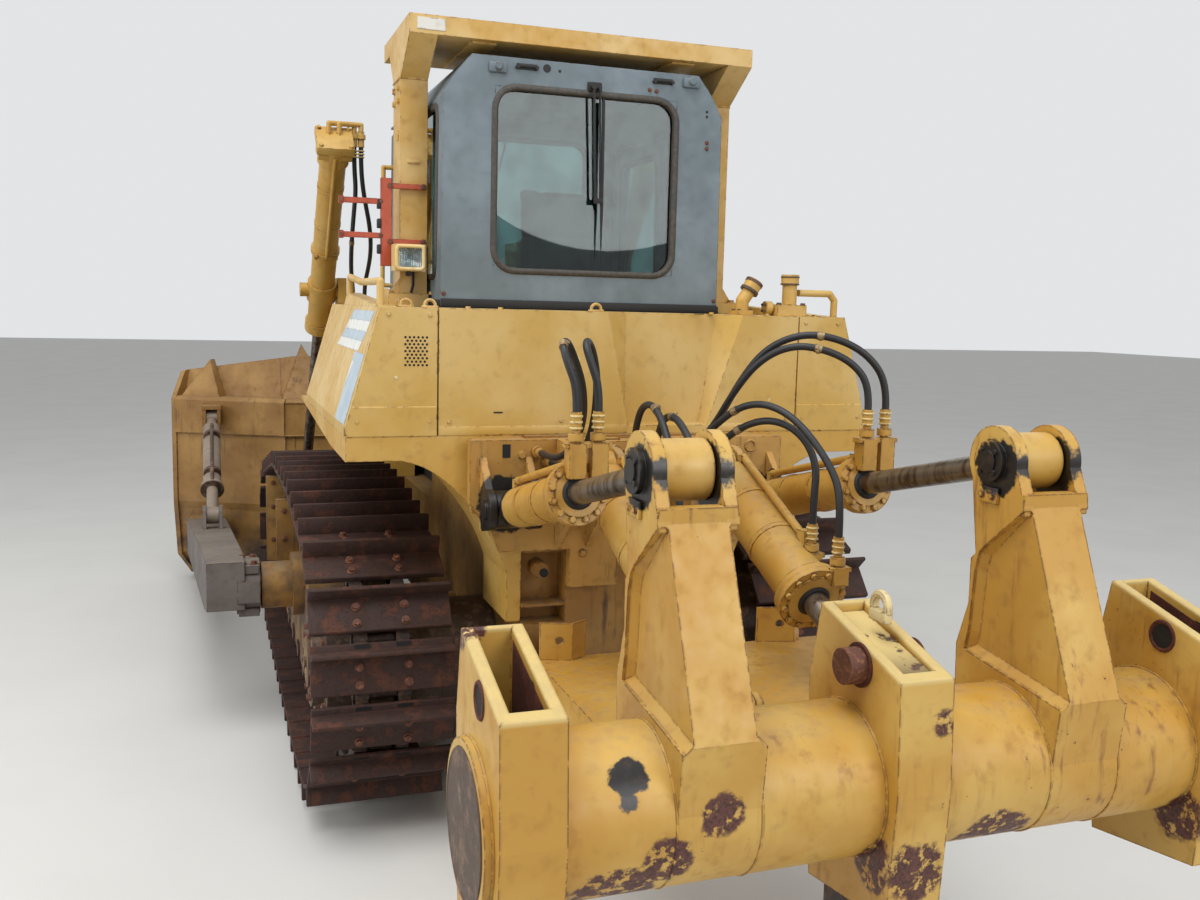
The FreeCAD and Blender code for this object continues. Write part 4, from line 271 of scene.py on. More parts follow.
def rusty_steel(name, base, pale, deep, size_mm=60.0, gloss=0.75, metal=0.0, pits=0.003, painted_above=None):
    """Bare cast or rolled steel under a coat of rust, rough and blotched, with pits.

    Above painted_above, in mm, cream enamel is left on it in worn sheets.
    """
    material, tree, shader, place = new_finish(name)
    blotch = grain(tree, place, size_mm, 7.0, 0.62)
    fine = grain(tree, place, size_mm / 7.0, 6.0, 0.7)
    colour = add(tree, "over", linear(base), linear(pale), add(tree, "step", blotch, 0.48, 0.66))
    colour = add(tree, "over", colour, linear(deep), add(tree, "step", fine, 0.50, 0.68))
    runs = grain(tree, place, 30.0, 4.0, 0.6, (1.0, 1.0, 6.0))
    colour = add(tree, "over", colour, linear(deep), add(tree, "multiply", add(tree, "step", runs, 0.56, 0.70), 0.6))
    edges = add(tree, "multiply", edge_line(tree, 7.0), add(tree, "step", fine, 0.42, 0.58))
    colour = add(tree, "over", colour, linear(pale), add(tree, "multiply", edges, 0.55))
    if painted_above:
        height = add(tree, "ShaderNodeSeparateXYZ", i0=place).outputs["Z"]
        high = add(tree, "step", height, painted_above / 1000.0 - 0.03, painted_above / 1000.0 + 0.03)
        kept = add(tree, "multiply", high, add(tree, "step", blotch, 0.62, 0.56))
        kept = add(tree, "multiply", kept, add(tree, "subtract", 1.0, edges))
        colour = add(tree, "over", colour, linear("#cdb576"), kept)
    roughness = add(tree, "ShaderNodeMapRange", Value=blotch, i1=0.3, i2=0.7, i3=gloss - 0.15, i4=gloss + 0.1)
    rounded = add(tree, "ShaderNodeBevel", {"samples": 4}, Radius=0.004)
    bump = add(tree, "ShaderNodeBump", Strength=0.6, Distance=pits, Height=fine, Normal=rounded.outputs[0])
    feed(tree, shader, Base_Color=colour, Metallic=metal, Roughness=roughness.outputs[0], Normal=bump.outputs[0])
    return material


def plain_finish(name, base, roughness, mottled, size_mm, amount=0.3, metal=0.0, bump_mm=0.4, coat=0.0):
    """Moulded or drawn surface of one colour, with a faint mottle and grain of its own."""
    material, tree, shader, place = new_finish(name)
    noise = grain(tree, place, size_mm, 5.0)
    clouds = add(tree, "multiply", add(tree, "step", noise, 0.4, 0.65), amount)
    colour = add(tree, "over", linear(base), linear(mottled), clouds)
    rough = add(tree, "ShaderNodeMapRange", Value=noise, i1=0.3, i2=0.7, i3=roughness - 0.07, i4=roughness + 0.07)
    bump = add(tree, "ShaderNodeBump", Strength=0.4, Distance=bump_mm / 1000.0, Height=noise)
    feed(tree, shader, Base_Color=colour, Metallic=metal, Coat_Weight=coat, Roughness=rough.outputs[0],
         Normal=bump.outputs[0])
    return material


def tinted_glass(name, tint, roughness=0.015):
    """Flat tinted cab glass, clear enough to show the seat, with dried dirt in a faint film."""
    material, tree, shader, place = new_finish(name)
    film = add(tree, "step", grain(tree, place, 190.0, 5.0), 0.38, 0.72)
    feed(tree, shader, Base_Color=add(tree, "over", linear(tint), linear("#6f8889"), film), Roughness=roughness,
         Transmission_Weight=1.0, IOR=1.45)
    return material


# The machine's enamels: one shade, weathered differently on each part of the machine.
TILT_BASE = [(spot(side * TILT_X, *TILT_LINE[0]), 165.0) for side in (-1, 1)]
TILT_EYE = [(spot(side * TILT_X, *TILT_EYE_PIN), 128.0) for side in (-1, 1)]
LIFT_EYE = [(spot(side * LIFT_X, *LIFT_EYE_PIN), 120.0) for side in (-1, 1)]
EYE_SIDES = [(spot(x, *TILT_EYE_PIN), 62.0) for side in (-1, 1) for x in (side * (TILT_X - 70), side * (TILT_X + 70))]
EAR_SIDES = [(spot(x, -2500, 1915), 96.0) for side in (-1, 1) for x in (side * (TILT_X - 78), side * (TILT_X + 78))]
BEAM_GREASE = [(spot(-793, -2757, 1215), 52.0), (spot(-800, -2775, 1165), 34.0), (spot(-330, -2440, 1255), 46.0)]
BEAM_RUST = [(spot(x, -2760, 900), 120.0) for x in (-1058, -830, 0, 300, 1058)] + [
    (spot(-700, -2790, 1010), 70.0), (spot(-560, -2800, 1120), 60.0), (spot(-1165, *BEAM_AXIS), 150.0),
    (spot(-1140, -2440, 1530), 60.0), (spot(975, -2600, 1180), 60.0), (spot(60, -2840, 1300), 40.0)]
# bleached ochre paint, clouded, with chips at the edges
yellow = enamel("yellow_machine_enamel", "#bd923e", "#c9a55c", "#6a3a22", "#8a5b26", 0.45, 0.45)
# paler and cleaner sheet metal of the rear box
box_yellow = enamel("pale_yellow_panel_enamel", "#c09a4a", "#cbab68", "#6a3a22", "#93713f", 0.15, 0.25, 0.4)
# smoother paint with a slight shine on the roll-over frame
frame_yellow = enamel("roll_frame_enamel", "#bd9342", "#cbab6c", "#6a3a22", "#8a5b26", 0.2, 0.3, 0.42)
# ochre scraped down to brown rust, with cream rims at the pockets
ripper_yellow = enamel("ripper_enamel_worn_to_rust", "#ba8c38", "#c9a455", "#5a3028", "#7a4a22", 0.9, 0.9, 0.42, 0.2,
                       greasy=EAR_SIDES + BEAM_GREASE, rusted=BEAM_RUST, pale=pocket_rims)
# ochre barrels, black with grease at the base
barrel_yellow = enamel("cylinder_enamel_greased_base", "#b58634", "#c19a4c", "#4c2a1c", "#6a4520", 0.7, 0.8, 0.4, 0.2,
                       greasy=TILT_BASE)
# stained rod that ends in a painted eye with black grease
tilt_rod = enamel("tilt_rod_and_painted_eye", "#bd923e", "#c9a55c", "#5a3028", "#7a4a22", 0.5, 0.4, 0.4, 0.1,
                  greasy=EYE_SIDES, painted=TILT_EYE)
# stained rod that ends in a painted eye
lift_rod = enamel("ripper_lift_rod_and_painted_eye", "#b98c3c", "#c6a056", "#5a3028", "#6a4520", 0.6, 0.5, 0.4,
                  0.1, painted=LIFT_EYE)
# brown back of the blade, stained and darkened as painted shade, with mud and painted shade at its foot
blade_stain_and_shade = enamel("blade_back_enamel_stain_and_painted_shade", "#86602c", "#a07a40", "#5a3222", "#5a371e", 0.8, 1.0, 0.55, 0.4,
                      mud_and_shade=0.9)
# dark oily paint, muddy low down
hull_yellow = enamel("hull_enamel_oily", "#8d6224", "#a07a3a", "#452818", "#33271b", 0.6, 1.0, 0.5, 0.5, mud_and_shade=1.2)
# oily ochre round the ripper's mounts
mount_yellow = enamel("ripper_mount_enamel_oily", "#a97c34", "#b98f4c", "#452818", "#4a3018", 0.5, 0.9, 0.5, 0.4,
                      greasy=TILT_BASE)
# flaking dark ochre under mud
guard_yellow = enamel("track_frame_enamel_flaking", "#8f6428", "#a27c3e", "#46281a", "#36241a", 1.0, 1.0, 0.6, 0.5,
                      mud_and_shade=1.4)
# dull grey-blue with a little dust
cab_blue = enamel("cab_grey_blue_enamel", "#616e75", "#74828b", "#5a4136", "#5b6468", 0.2, 0.25, 0.5, 0.3)
# faded red, rusting at its edges
clamp_red = enamel("clamp_red_enamel", "#a8452a", "#b8583a", "#4e2a18", "#6d3320", 0.6, 0.5, 0.5, 0.1)
# grey coat rubbed through to rust
arm_grey = enamel("push_arm_grey_enamel", "#5c5551", "#6f6761", "#5a3222", "#55301f", 1.0, 1.0, 0.65, 0.3, mud_and_shade=0.6)
# warm grey with rubbed edges
brace_grey = enamel("brace_grey_enamel", "#7d6e5f", "#8e8172", "#5a3222", "#63503f", 0.7, 0.8, 0.5, 0.2)
# pale blue film, hardly chipped
stripe_blue = enamel("stripe_pale_blue_film", "#9fb0bd", "#b3c0c8", "#8b8b86", "#8e9aa2", 0.15, 0.1, 0.45, 0.1)
# off-white film beside the blue
stripe_white = enamel("stripe_white_film", "#cfcfc9", "#dcdcd6", "#8b8b86", "#a9a69c", 0.15, 0.1, 0.45, 0.1)
# faded white, scuffed and blank
number_plate = enamel("blank_plate_faded_white", "#c8c6bd", "#d6d4cc", "#8a7f6c", "#a39a88", 0.4, 0.3, 0.6, 0.1)
# near-black brown with a rust bloom
track_rust = rusty_steel("track_shoe_rust", "#351e16", "#553122", "#1d100b", 80.0, 0.8)
# dark oily steel, rubbed brown
link_steel = rusty_steel("track_link_steel", "#2c1c15", "#57402f", "#17100c", 50.0, 0.7)
# brown cast steel rubbed bare
worn_steel = rusty_steel("worn_cast_steel", "#4a3628", "#7a6350", "#261a13", 60.0, 0.6)
# dark bare steel, with cream paint left on the head
shank_steel = rusty_steel("ripper_point_steel", "#33211a", "#5e4436", "#150e0b", 70.0, 0.6, painted_above=1430.0)
# small orange-brown heads
bolt_rust = rusty_steel("bolt_heads_rusty", "#5c3424", "#8a5a40", "#2f1b12", 18.0, 0.7, 0.0, 0.001)
# grey-brown steel scoured by soil
edge_steel = rusty_steel("cutting_edge_steel", "#4b3a30", "#82705f", "#2a1e17", 70.0, 0.55)
# dull satin rod with brown stain
rod_chrome = plain_finish("cylinder_rod_chrome_stained", "#7d7468", 0.34, "#4f4030", 35.0, 0.9, 0.75, 0.1)
# soft sheen of black rubber
hose_black = plain_finish("hose_rubber_braided_black", "#1b1b1d", 0.5, "#2b2a2a", 4.0, 0.5, 0.0, 0.3)
# dusty grey-brown line round the panes
seal_rubber = plain_finish("window_seal_rubber", "#3c3934", 0.65, "#57514a", 14.0, 0.6)
# matt black with no shine
black_rubber = plain_finish("black_moulded_rubber", "#191919", 0.7, "#2c2a28", 12.0, 0.5)
# dark grey with a fine grain
console_plastic = plain_finish("console_plastic_dark", "#26282b", 0.55, "#34373a", 3.0, 0.5, 0.0, 0.2)
# black with a soft grain
seat_vinyl = plain_finish("seat_vinyl_black", "#1d1f22", 0.5, "#303338", 2.5, 0.6, 0.0, 0.25)
# pale cream-yellow housing
lamp_shell = enamel("lamp_pale_yellow_enamel", "#d3b674", "#dfcb9a", "#6a3a22", "#9a7d4e", 0.2, 0.2, 0.4, 0.1)
# bright silvery bowl
lamp_mirror = plain_finish("lamp_reflector_silvered", "#c9c8c6", 0.28, "#8e8c8a", 30.0, 0.6, 0.9, 0.3, 0.3)
# teal pane that shows the seat through a film of dirt
cab_glass = tinted_glass("cab_glass_teal_tint", "#8aabaa")
# clear lens, slightly frosted
lamp_clear = tinted_glass("lamp_lens_clear", "#dfe3e2", 0.05)
# painted shade: the black of a hole in shadow, laid as a dark sheet
painted_hole_shade = plain_finish("painted_shade_in_openings", "#12100e", 0.8, "#1c1916", 10.0)
# red-brown rust in the pockets
pocket_dark = rusty_steel("pocket_inside_red_rust", "#4a2014", "#6a3320", "#220f0a", 70.0, 0.8)
# cream paint worn at the corners
rim_cream = enamel("pocket_rim_cream_enamel", "#d3bd83", "#dccb9c", "#6a4030", "#a98a54", 0.7, 0.3, 0.4, 0.1)
# pale yellow hose fittings
crimp_yellow = enamel("hose_end_pale_yellow", "#cdb06a", "#d8c48e", "#6a4a30", "#9a7d4e", 0.3, 0.2, 0.4, 0.1)
# dull zinc going rusty
strap_zinc = plain_finish("strap_clamp_rusty_zinc", "#9c8a66", 0.5, "#6d4a30", 12.0, 0.9, 0.5, 0.2)
# black-brown steel stained by heat
exhaust_black = rusty_steel("exhaust_stack_heat_rust", "#2b2220", "#5a4030", "#161110", 45.0, 0.7)

NODE_FINISH = {
    "sprockets": worn_steel, "idlers": worn_steel, "track_rollers": worn_steel, "track_frames": guard_yellow,
    "track_left": link_steel, "track_right": link_steel,
    "hull": hull_yellow, "ripper_mounts": mount_yellow, "engine": console_plastic, "front_grille": black_rubber,
    "hood": yellow, "radiator_guard": yellow, "engine_door_left": yellow, "engine_door_right": yellow,
    "exhaust_stack": exhaust_black, "air_intake": yellow, "rear_tank": box_yellow, "rear_doors": box_yellow,
    "side_boxes": box_yellow, "fenders": yellow, "cab_shell": cab_blue, "cab_door_left": cab_blue,
    "cab_door_right": cab_blue, "cab_glass": cab_glass, "door_glass_left": cab_glass, "door_glass_right": cab_glass,
    "cab_mounts": black_rubber, "cab_seat": seat_vinyl, "cab_console": console_plastic,
    "rollover_frame": frame_yellow, "work_lamp": lamp_shell, "leg_clamp": clamp_red, "tank_fittings": yellow,
    "push_arms": arm_grey, "blade": blade_stain_and_shade, "cutting_edges": edge_steel, "blade_struts": brace_grey,
    "lift_barrels": yellow, "lift_rods": rod_chrome, "lift_yokes": yellow, "ripper_arm": ripper_yellow,
    "ripper_pins": worn_steel, "ripper_beam": ripper_yellow, "ripper_shank": shank_steel, "shank_pin": bolt_rust,
    "tilt_barrels": barrel_yellow, "tilt_rods": tilt_rod, "ripper_lift_barrels": barrel_yellow,
    "ripper_lift_rods": lift_rod,
}
for node_name, finish in NODE_FINISH.items():
    mesh = frame["nodes"][node_name].data
    mesh.materials.clear()
    mesh.materials.append(finish)


def round_edges(bm, verts, round_mm):
    """Round every edge of a shape just made."""
    bmesh.ops.bevel(bm, geom=list({edge for vert in verts for edge in vert.link_edges}), offset=round_mm / 1000.0,
                    offset_type="OFFSET", segments=2, profile=0.5, affect="EDGES", clamp_overlap=True, material=-1)


def join_loops(bm, near, far):
    """Faces between two closed loops of as many vertices."""
    for i in range(len(near)):
        j = (i + 1) % len(near)
        bm.faces.new((near[i], near[j], far[j], far[i]))


def put_in_scene(name, bm, finish):
    """Object of one finish from a finished bmesh."""
    mesh = bpy.data.meshes.new(name)
    bm.to_mesh(mesh)
    bm.free()
    mesh.materials.append(finish)
    made = bpy.data.objects.new(name, mesh)
    bpy.context.scene.collection.objects.link(made)
    return made


def block(bm, low, high, round_mm=0.0):
    """Box between two corners, with rounded edges."""
    low = Vector(low)
    high = Vector(high)
    centre = spot(*((low + high) / 2))
    size = (high - low) / 1000.0
    matrix = Matrix.Translation(centre) @ Matrix.Diagonal((*size, 1.0))
    verts = bmesh.ops.create_cube(bm, size=1.0, matrix=matrix)["verts"]
    if round_mm:
        round_edges(bm, verts, round_mm)
    return verts


def bar(bm, start, end, radius, segments=20, end_radius=None):
    """Round bar between two places."""
    a = spot(*start)
    b = spot(*end)
    turn = (b - a).to_track_quat("Z", "Y").to_matrix().to_4x4()
    matrix = Matrix.Translation((a + b) / 2) @ turn
    tip = radius if end_radius is None else end_radius
    return bmesh.ops.create_cone(bm, cap_ends=True, segments=segments, radius1=radius / 1000.0, radius2=tip / 1000.0,
                                 depth=(b - a).length, matrix=matrix)["verts"]


def bolt(bm, place, out, radius, height):
    """Hexagon bolt head on a round washer."""
    place = Vector(place)
    out = Vector(out).normalized()
    bar(bm, place - out * 1.0, place + out * height * 0.22, radius * 1.3, 14)
    bar(bm, place, place + out * height, radius, 6)


def body_under(node):
    """Name of the body that a CAD node rides on."""
    return body_of(frame["nodes"][node])[0]


def make_piece(name, finish, body, build, sharp=38.0):
    """New piece from a building function, at the origin, riding on its body."""
    bm = bmesh.new()
    build(bm)
    bmesh.ops.recalc_face_normals(bm, faces=bm.faces)
    for face in bm.faces:
        face.smooth = True
    for edge in bm.edges:
        if len(edge.link_faces) == 2 and edge.calc_face_angle() > math.radians(sharp):
            edge.smooth = False
    made = put_in_scene(name, bm, finish)
    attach(made, body)
    return made


def piece(name, finish, body="machine", sharp=38.0):
    """Mark a building function as the piece of that name."""
    def built(build):
        make_piece(name, finish, body, build, sharp)
        return build
    return built


SHOE_COUNT = 41
SHOE_HALF = 305.0
HALF_GAUGE = 1050.0
SPROCKET = (*SPROCKET_AXLE, 496.0)
IDLER = (*IDLER_AXLE, 430.0)
CARRIERS = ((850.0, 1280.0), (2050.0, 1262.0))
FLAT_START = (520.0, 160.0)


def touch(point, wheel, side):
    """Where a straight run from point touches a wheel, and the angle there."""
    dy = point[0] - wheel[0]
    dz = point[1] - wheel[1]
    angle = math.atan2(dz, dy) + side * math.acos(wheel[2] / math.hypot(dy, dz))
    return (wheel[0] + wheel[2] * math.cos(angle), wheel[1] + wheel[2] * math.sin(angle)), angle


def link_places():
    """Start, direction, outward side and length of each link, over the top towards the rear."""
    top, top_angle = touch(CARRIERS[0], SPROCKET, 1)
    low, low_angle = touch(FLAT_START, SPROCKET, -1)
    front, front_angle = touch(CARRIERS[1], IDLER, -1)
    runs = [(front, CARRIERS[1]), (CARRIERS[1], CARRIERS[0]), (CARRIERS[0], top),
            (SPROCKET, top_angle, low_angle + 2 * math.pi), (low, FLAT_START),
            (FLAT_START, (IDLER[0], FLAT_START[1])), (IDLER, -math.pi / 2, front_angle)]
    lengths = [math.dist(run[0], run[1]) if len(run) == 2 else run[0][2] * (run[2] - run[1]) for run in runs]
    total = sum(lengths)
    pins = []
    for index in range(SHOE_COUNT):
        left = total * index / SHOE_COUNT
        for run, length in zip(runs, lengths):
            if left <= length:
                break
            left -= length
        if len(run) == 2:
            share = left / length
            pins.append((run[0][0] + (run[1][0] - run[0][0]) * share, run[0][1] + (run[1][1] - run[0][1]) * share))
        else:
            angle = run[1] + left / run[0][2]
            pins.append((run[0][0] + run[0][2] * math.cos(angle), run[0][1] + run[0][2] * math.sin(angle)))
    places = []
    for pin, following in zip(pins, pins[1:] + pins[:1]):
        length = math.dist(pin, following)
        along = ((following[0] - pin[0]) / length, (following[1] - pin[1]) / length)
        places.append((pin, along, length))
    return places


def shoe_plate(bm, length):
    """One shoe lying flat: pressed plate with a turned-down edge, the tall bar, and shallow ends."""
    block(bm, (-SHOE_HALF, 0.03 * length, 62), (SHOE_HALF, 0.955 * length, 81), 5)
    block(bm, (-SHOE_HALF, 0.90 * length, 50), (SHOE_HALF, 0.97 * length, 79), 6)
    grouser = block(bm, (-SHOE_HALF, 0.165 * length, 76), (SHOE_HALF, 0.30 * length, 160), 0)
    for vert in grouser:
        if vert.co.z > 0.12:
            vert.co.y += 0.006 if vert.co.y < spot(0, 0.23 * length, 0).y else -0.006
    round_edges(bm, grouser, 6)


def shoe_bolts(bm, length):
    for x in (-104, 104):
        for share in (0.47, 0.80):
            bolt(bm, (x, share * length, 81), (0, 0, 1), 15, 17)


def shoe_slot_shade(bm, length):
    """Painted shade in the relief slots of the plate beside the links, ahead of the bar."""
    for x in (-88, 88):
        block(bm, (x - 34, 0.045 * length, 79), (x + 34, 0.13 * length, 81.6), 0)


def chain_link(bm, length):
    """The two link bars under a shoe, with the pin's bosses."""
    for x in (-91, 91):
        for share, radius in ((0.0, 46), (1.0, 46)):
            bar(bm, (x - 30, share * length, 0), (x + 30, share * length, 0), radius, 18)
        block(bm, (x - 28, 0.02 * length, -50), (x + 28, 0.98 * length, 55), 8)
    bar(bm, (-128, 0, 0), (128, 0, 0), 24, 14)


def laid_along_track(build, side):
    """Building function that repeats a flat piece on every link of one track."""
    def run(bm):
        flat = bmesh.new()
        for (y, z), (ay, az), length in link_places():
            flat.clear()
            build(flat, length)
            # the piece's Y runs along the link and its Z out of the chain
            turn = Matrix(((1, 0, 0, 0), (0, ay, az, 0), (0, az, -ay, 0), (0, 0, 0, 1)))
            bmesh.ops.transform(flat, matrix=Matrix.Translation(-spot(0, 0, 0)), verts=flat.verts)
            bmesh.ops.transform(flat, matrix=Matrix.Translation(spot(side * HALF_GAUGE, y, z)) @ turn, verts=flat.verts)
            copy = bpy.data.meshes.new("link_part")
            flat.to_mesh(copy)
            bm.from_mesh(copy)
            bpy.data.meshes.remove(copy)
        flat.free()
    return run


for side, word in ((-1, "left"), (1, "right")):
    shoes = make_piece("track_shoes_" + word, track_rust, "machine", laid_along_track(shoe_plate, side))
    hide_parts("track_" + word)
    make_piece("track_links_" + word, link_steel, "machine", laid_along_track(chain_link, side))
    make_piece("track_shoe_bolts_" + word, bolt_rust, "machine", laid_along_track(shoe_bolts, side))
    # thin dark blocks that paint the shade in each shoe's slots
    make_piece("track_shoe_slot_shade_" + word, painted_hole_shade, "machine", laid_along_track(shoe_slot_shade, side))


# name, the moving body it bends with, real length in metres, route in drawing millimetres
HOSES = [
    ("hose_tilt_right_a", "tilt_barrel_pair", 1.381, [
        (TILT_X - 12, -1642, 2005), (TILT_X - 12, -1642, 2090), (500, -1622, 2170), (400, -1585, 2222),
        (290, -1520, 2235), (200, -1440, 2172), (150, -1340, 2045), (128, -1220, 1900), (108, -1080, 1800),
        (100, -930, 1750), (100, -790, 1750)]),
    ("hose_tilt_right_b", "tilt_barrel_pair", 1.451, [
        (TILT_X + 72, -1628, 2005), (TILT_X + 72, -1628, 2100), (570, -1610, 2200), (462, -1570, 2262),
        (340, -1505, 2278), (236, -1420, 2216), (184, -1320, 2085), (164, -1200, 1932), (146, -1070, 1822),
        (140, -930, 1760), (140, -790, 1760)]),
    ("hose_tilt_left_a", "tilt_barrel_pair", 1.317, [
        (-TILT_X - 12, -1642, 2005), (-TILT_X - 12, -1642, 2085), (-608, -1634, 2165), (-618, -1600, 2230),
        (-585, -1545, 2240), (-540, -1490, 2185), (-482, -1425, 2080), (-440, -1320, 1945), (-430, -1190, 1840),
        (-430, -1050, 1775), (-430, -900, 1745), (-430, -750, 1745)]),
    ("hose_tilt_left_b", "tilt_barrel_pair", 1.317, [
        (-TILT_X + 72, -1628, 2005), (-TILT_X + 72, -1628, 2085), (-520, -1618, 2165), (-532, -1590, 2226),
        (-508, -1540, 2243), (-466, -1485, 2195), (-426, -1420, 2085), (-398, -1310, 1930), (-388, -1180, 1810),
        (-386, -1040, 1735), (-386, -900, 1705), (-386, -750, 1705)]),
    ("hose_lift_right_a", "ripper_lift_barrel_pair", 1.297, [
        (LIFT_X + 54, -1690, 1597), (LIFT_X + 54, -1690, 1697), (328, -1680, 1800), (308, -1640, 1889),
        (262, -1575, 1946), (206, -1500, 1958), (152, -1410, 1920), (108, -1310, 1840), (76, -1190, 1755),
        (60, -1050, 1700), (60, -915, 1680), (60, -790, 1680)]),
    ("hose_lift_right_b", "ripper_lift_barrel_pair", 1.445, [
        (LIFT_X + 79, -1830, 1575), (LIFT_X + 79, -1830, 1665), (345, -1800, 1762), (318, -1740, 1854),
        (278, -1665, 1940), (236, -1590, 1996), (186, -1500, 2020), (134, -1405, 1992), (86, -1300, 1905),
        (44, -1190, 1815), (20, -1060, 1760), (16, -920, 1740), (16, -790, 1740)]),
    ("hose_lift_left_a", "ripper_lift_barrel_pair", 1.205, [
        (-LIFT_X + 54, -1690, 1597), (-LIFT_X + 54, -1690, 1690), (-204, -1635, 1790), (-194, -1545, 1872),
        (-184, -1450, 1950), (-184, -1355, 2004), (-190, -1265, 1990), (-180, -1185, 1915), (-150, -1090, 1830),
        (-116, -980, 1775), (-104, -880, 1750), (-104, -790, 1750)]),
    ("hose_lift_left_b", "ripper_lift_barrel_pair", 1.333, [
        (-LIFT_X + 79, -1830, 1575), (-LIFT_X + 79, -1830, 1660), (-176, -1780, 1752), (-156, -1690, 1845),
        (-148, -1585, 1925), (-146, -1470, 1972), (-138, -1350, 1952), (-112, -1240, 1875), (-80, -1130, 1790),
        (-64, -1010, 1722), (-60, -900, 1690), (-60, -790, 1690)]),
    ("hose_blade_left_a", "lift_barrel_pair", 1.162, [
        (-878, 1760, 3262), (-878, 1760, 3140), (-864, 1796, 3020), (-868, 1850, 2900), (-872, 1910, 2770),
        (-868, 2000, 2640), (-852, 2130, 2540), (-830, 2260, 2480), (-812, 2360, 2425), (-812, 2360, 2360)]),
    ("hose_blade_left_b", "lift_barrel_pair", 1.149, [
        (-838, 1760, 3262), (-838, 1760, 3145), (-822, 1800, 3030), (-796, 1860, 2930), (-766, 1930, 2830),
        (-744, 2020, 2730), (-732, 2130, 2640), (-730, 2250, 2560), (-738, 2360, 2460), (-738, 2360, 2360)]),
]
# How far along its route each strapped hose carries its clamp.
STRAPS = {"hose_tilt_right_a": 0.30, "hose_tilt_right_b": 0.33, "hose_tilt_left_a": 0.26, "hose_lift_right_a": 0.56,
          "hose_lift_right_b": 0.60, "hose_lift_left_a": 0.42, "hose_lift_left_b": 0.47, "hose_blade_left_a": 0.5}


def strap_clamp(name, moving_body, path, share, points):
    """Pressed band round the hose, with its screw, bending with it."""
    bm = bmesh.new()
    at = round(share * (len(path) - 1))
    run = (Vector(path[at + 1]) - Vector(path[at - 1])).normalized()
    middle = Vector(path[at]) * 1000.0 - Vector((0.0, DRAWING_SHIFT, 0.0))
    bar(bm, middle - run * 13, middle + run * 13, 16.0, 18)
    out = run.orthogonal().normalized()
    bar(bm, middle + out * 15, middle + out * 22, 7, 6)
    made = put_in_scene(name, bm, strap_zinc)
    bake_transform(made, moving_body, "machine", start=tuple(spot(*points[1])), end=tuple(spot(*points[-2])))
    return made


def route_hose(name, moving_body, length, points):
    """One pressed hose on its route, bending between the cylinder and the machine."""
    curve = bpy.data.curves.new(name + "_route", "CURVE")
    curve.dimensions = "3D"
    curve.resolution_u = 10
    spline = curve.splines.new("NURBS")
    spline.points.add(len(points) - 1)
    for place, point in zip(points, spline.points):
        point.co = (*spot(*place), 1.0)
    spline.order_u = 3
    spline.use_endpoint_u = True
    route = bpy.data.objects.new(name + "_route", curve)
    line = bpy.data.meshes.new_from_object(route)
    path = [tuple(vert.co) for vert in line.vertices]
    curve.bevel_depth = 0.0135
    curve.bevel_resolution = 5
    curve.use_fill_caps = True
    mesh = bpy.data.meshes.new_from_object(route)
    bpy.data.objects.remove(route)
    mesh.materials.clear()
    mesh.materials.append(hose_black)
    straps = []
    if name in STRAPS:
        straps = [strap_clamp(name + "_strap", moving_body, path, STRAPS[name], points)]
    for face in mesh.polygons:
        face.use_smooth = True
    made = bpy.data.objects.new(name + "_run", mesh)
    bpy.context.scene.collection.objects.link(made)
    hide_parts(name)
    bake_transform(made, moving_body, "machine", start=tuple(spot(*points[1])), end=tuple(spot(*points[-2])))


for hose_row in HOSES:
    route_hose(*hose_row)


# Small shapes shared by the pieces below.


def slab(bm, near, far):
    """Solid between two matching outlines."""
    front = [bm.verts.new(spot(*point)) for point in near]
    back = [bm.verts.new(spot(*point)) for point in far]
    bm.faces.new(front)
    bm.faces.new(back[::-1])
    join_loops(bm, back, front)


def pipe(bm, points, radius, segments=14):
    """Round tube through a few places, with ball corners."""
    for a, b in zip(points, points[1:]):
        bar(bm, a, b, radius, segments)
    for point in points[1:-1]:
        bmesh.ops.create_uvsphere(bm, u_segments=segments, v_segments=8, radius=radius / 1000.0,
                                  matrix=Matrix.Translation(spot(*point)))


def collar(bm, start, end, outer, inner, segments=40):
    """Hollow ring between two places, clear of what slides through it."""
    a = spot(*start)
    b = spot(*end)
    across = (b - a).orthogonal().normalized()
    up = (b - a).normalized().cross(across)
    turns = [math.tau * k / segments for k in range(segments)]
    outs = [across * math.cos(turn) + up * math.sin(turn) for turn in turns]
    rings = [[bm.verts.new(middle + out * radius / 1000.0) for out in outs]
             for middle, radius in ((a, inner), (a, outer), (b, outer), (b, inner))]
    for ring, other in zip(rings, rings[1:] + rings[:1]):
        join_loops(bm, ring, other)


def torus(bm, centre, axis, radius, thick, start=0.0, turn=360.0, steps=40, sides=8):
    """Ring, or part of one, of round section about an axis."""
    axis = Vector(axis).normalized()
    across = axis.orthogonal().normalized() if abs(axis.z) > 0.9 else axis.cross(Vector((0, 0, 1))).normalized()
    up = across.cross(axis).normalized()
    centre = Vector(centre)
    loops = []
    whole = abs(turn - 360.0) < 0.01
    for k in range(steps if whole else steps + 1):
        angle = math.radians(start + turn * k / steps)
        out = across * math.cos(angle) + up * math.sin(angle)
        loops.append([bm.verts.new(spot(*(centre + out * (radius + thick * math.cos(math.tau * j / sides))
                                          + axis * thick * math.sin(math.tau * j / sides)))) for j in range(sides)])
    for a, b in zip(loops, loops[1:] + loops[:1] if whole else loops[1:]):
        join_loops(bm, a, b)
    if not whole:
        bm.faces.new(loops[0][::-1])
        bm.faces.new(loops[-1])


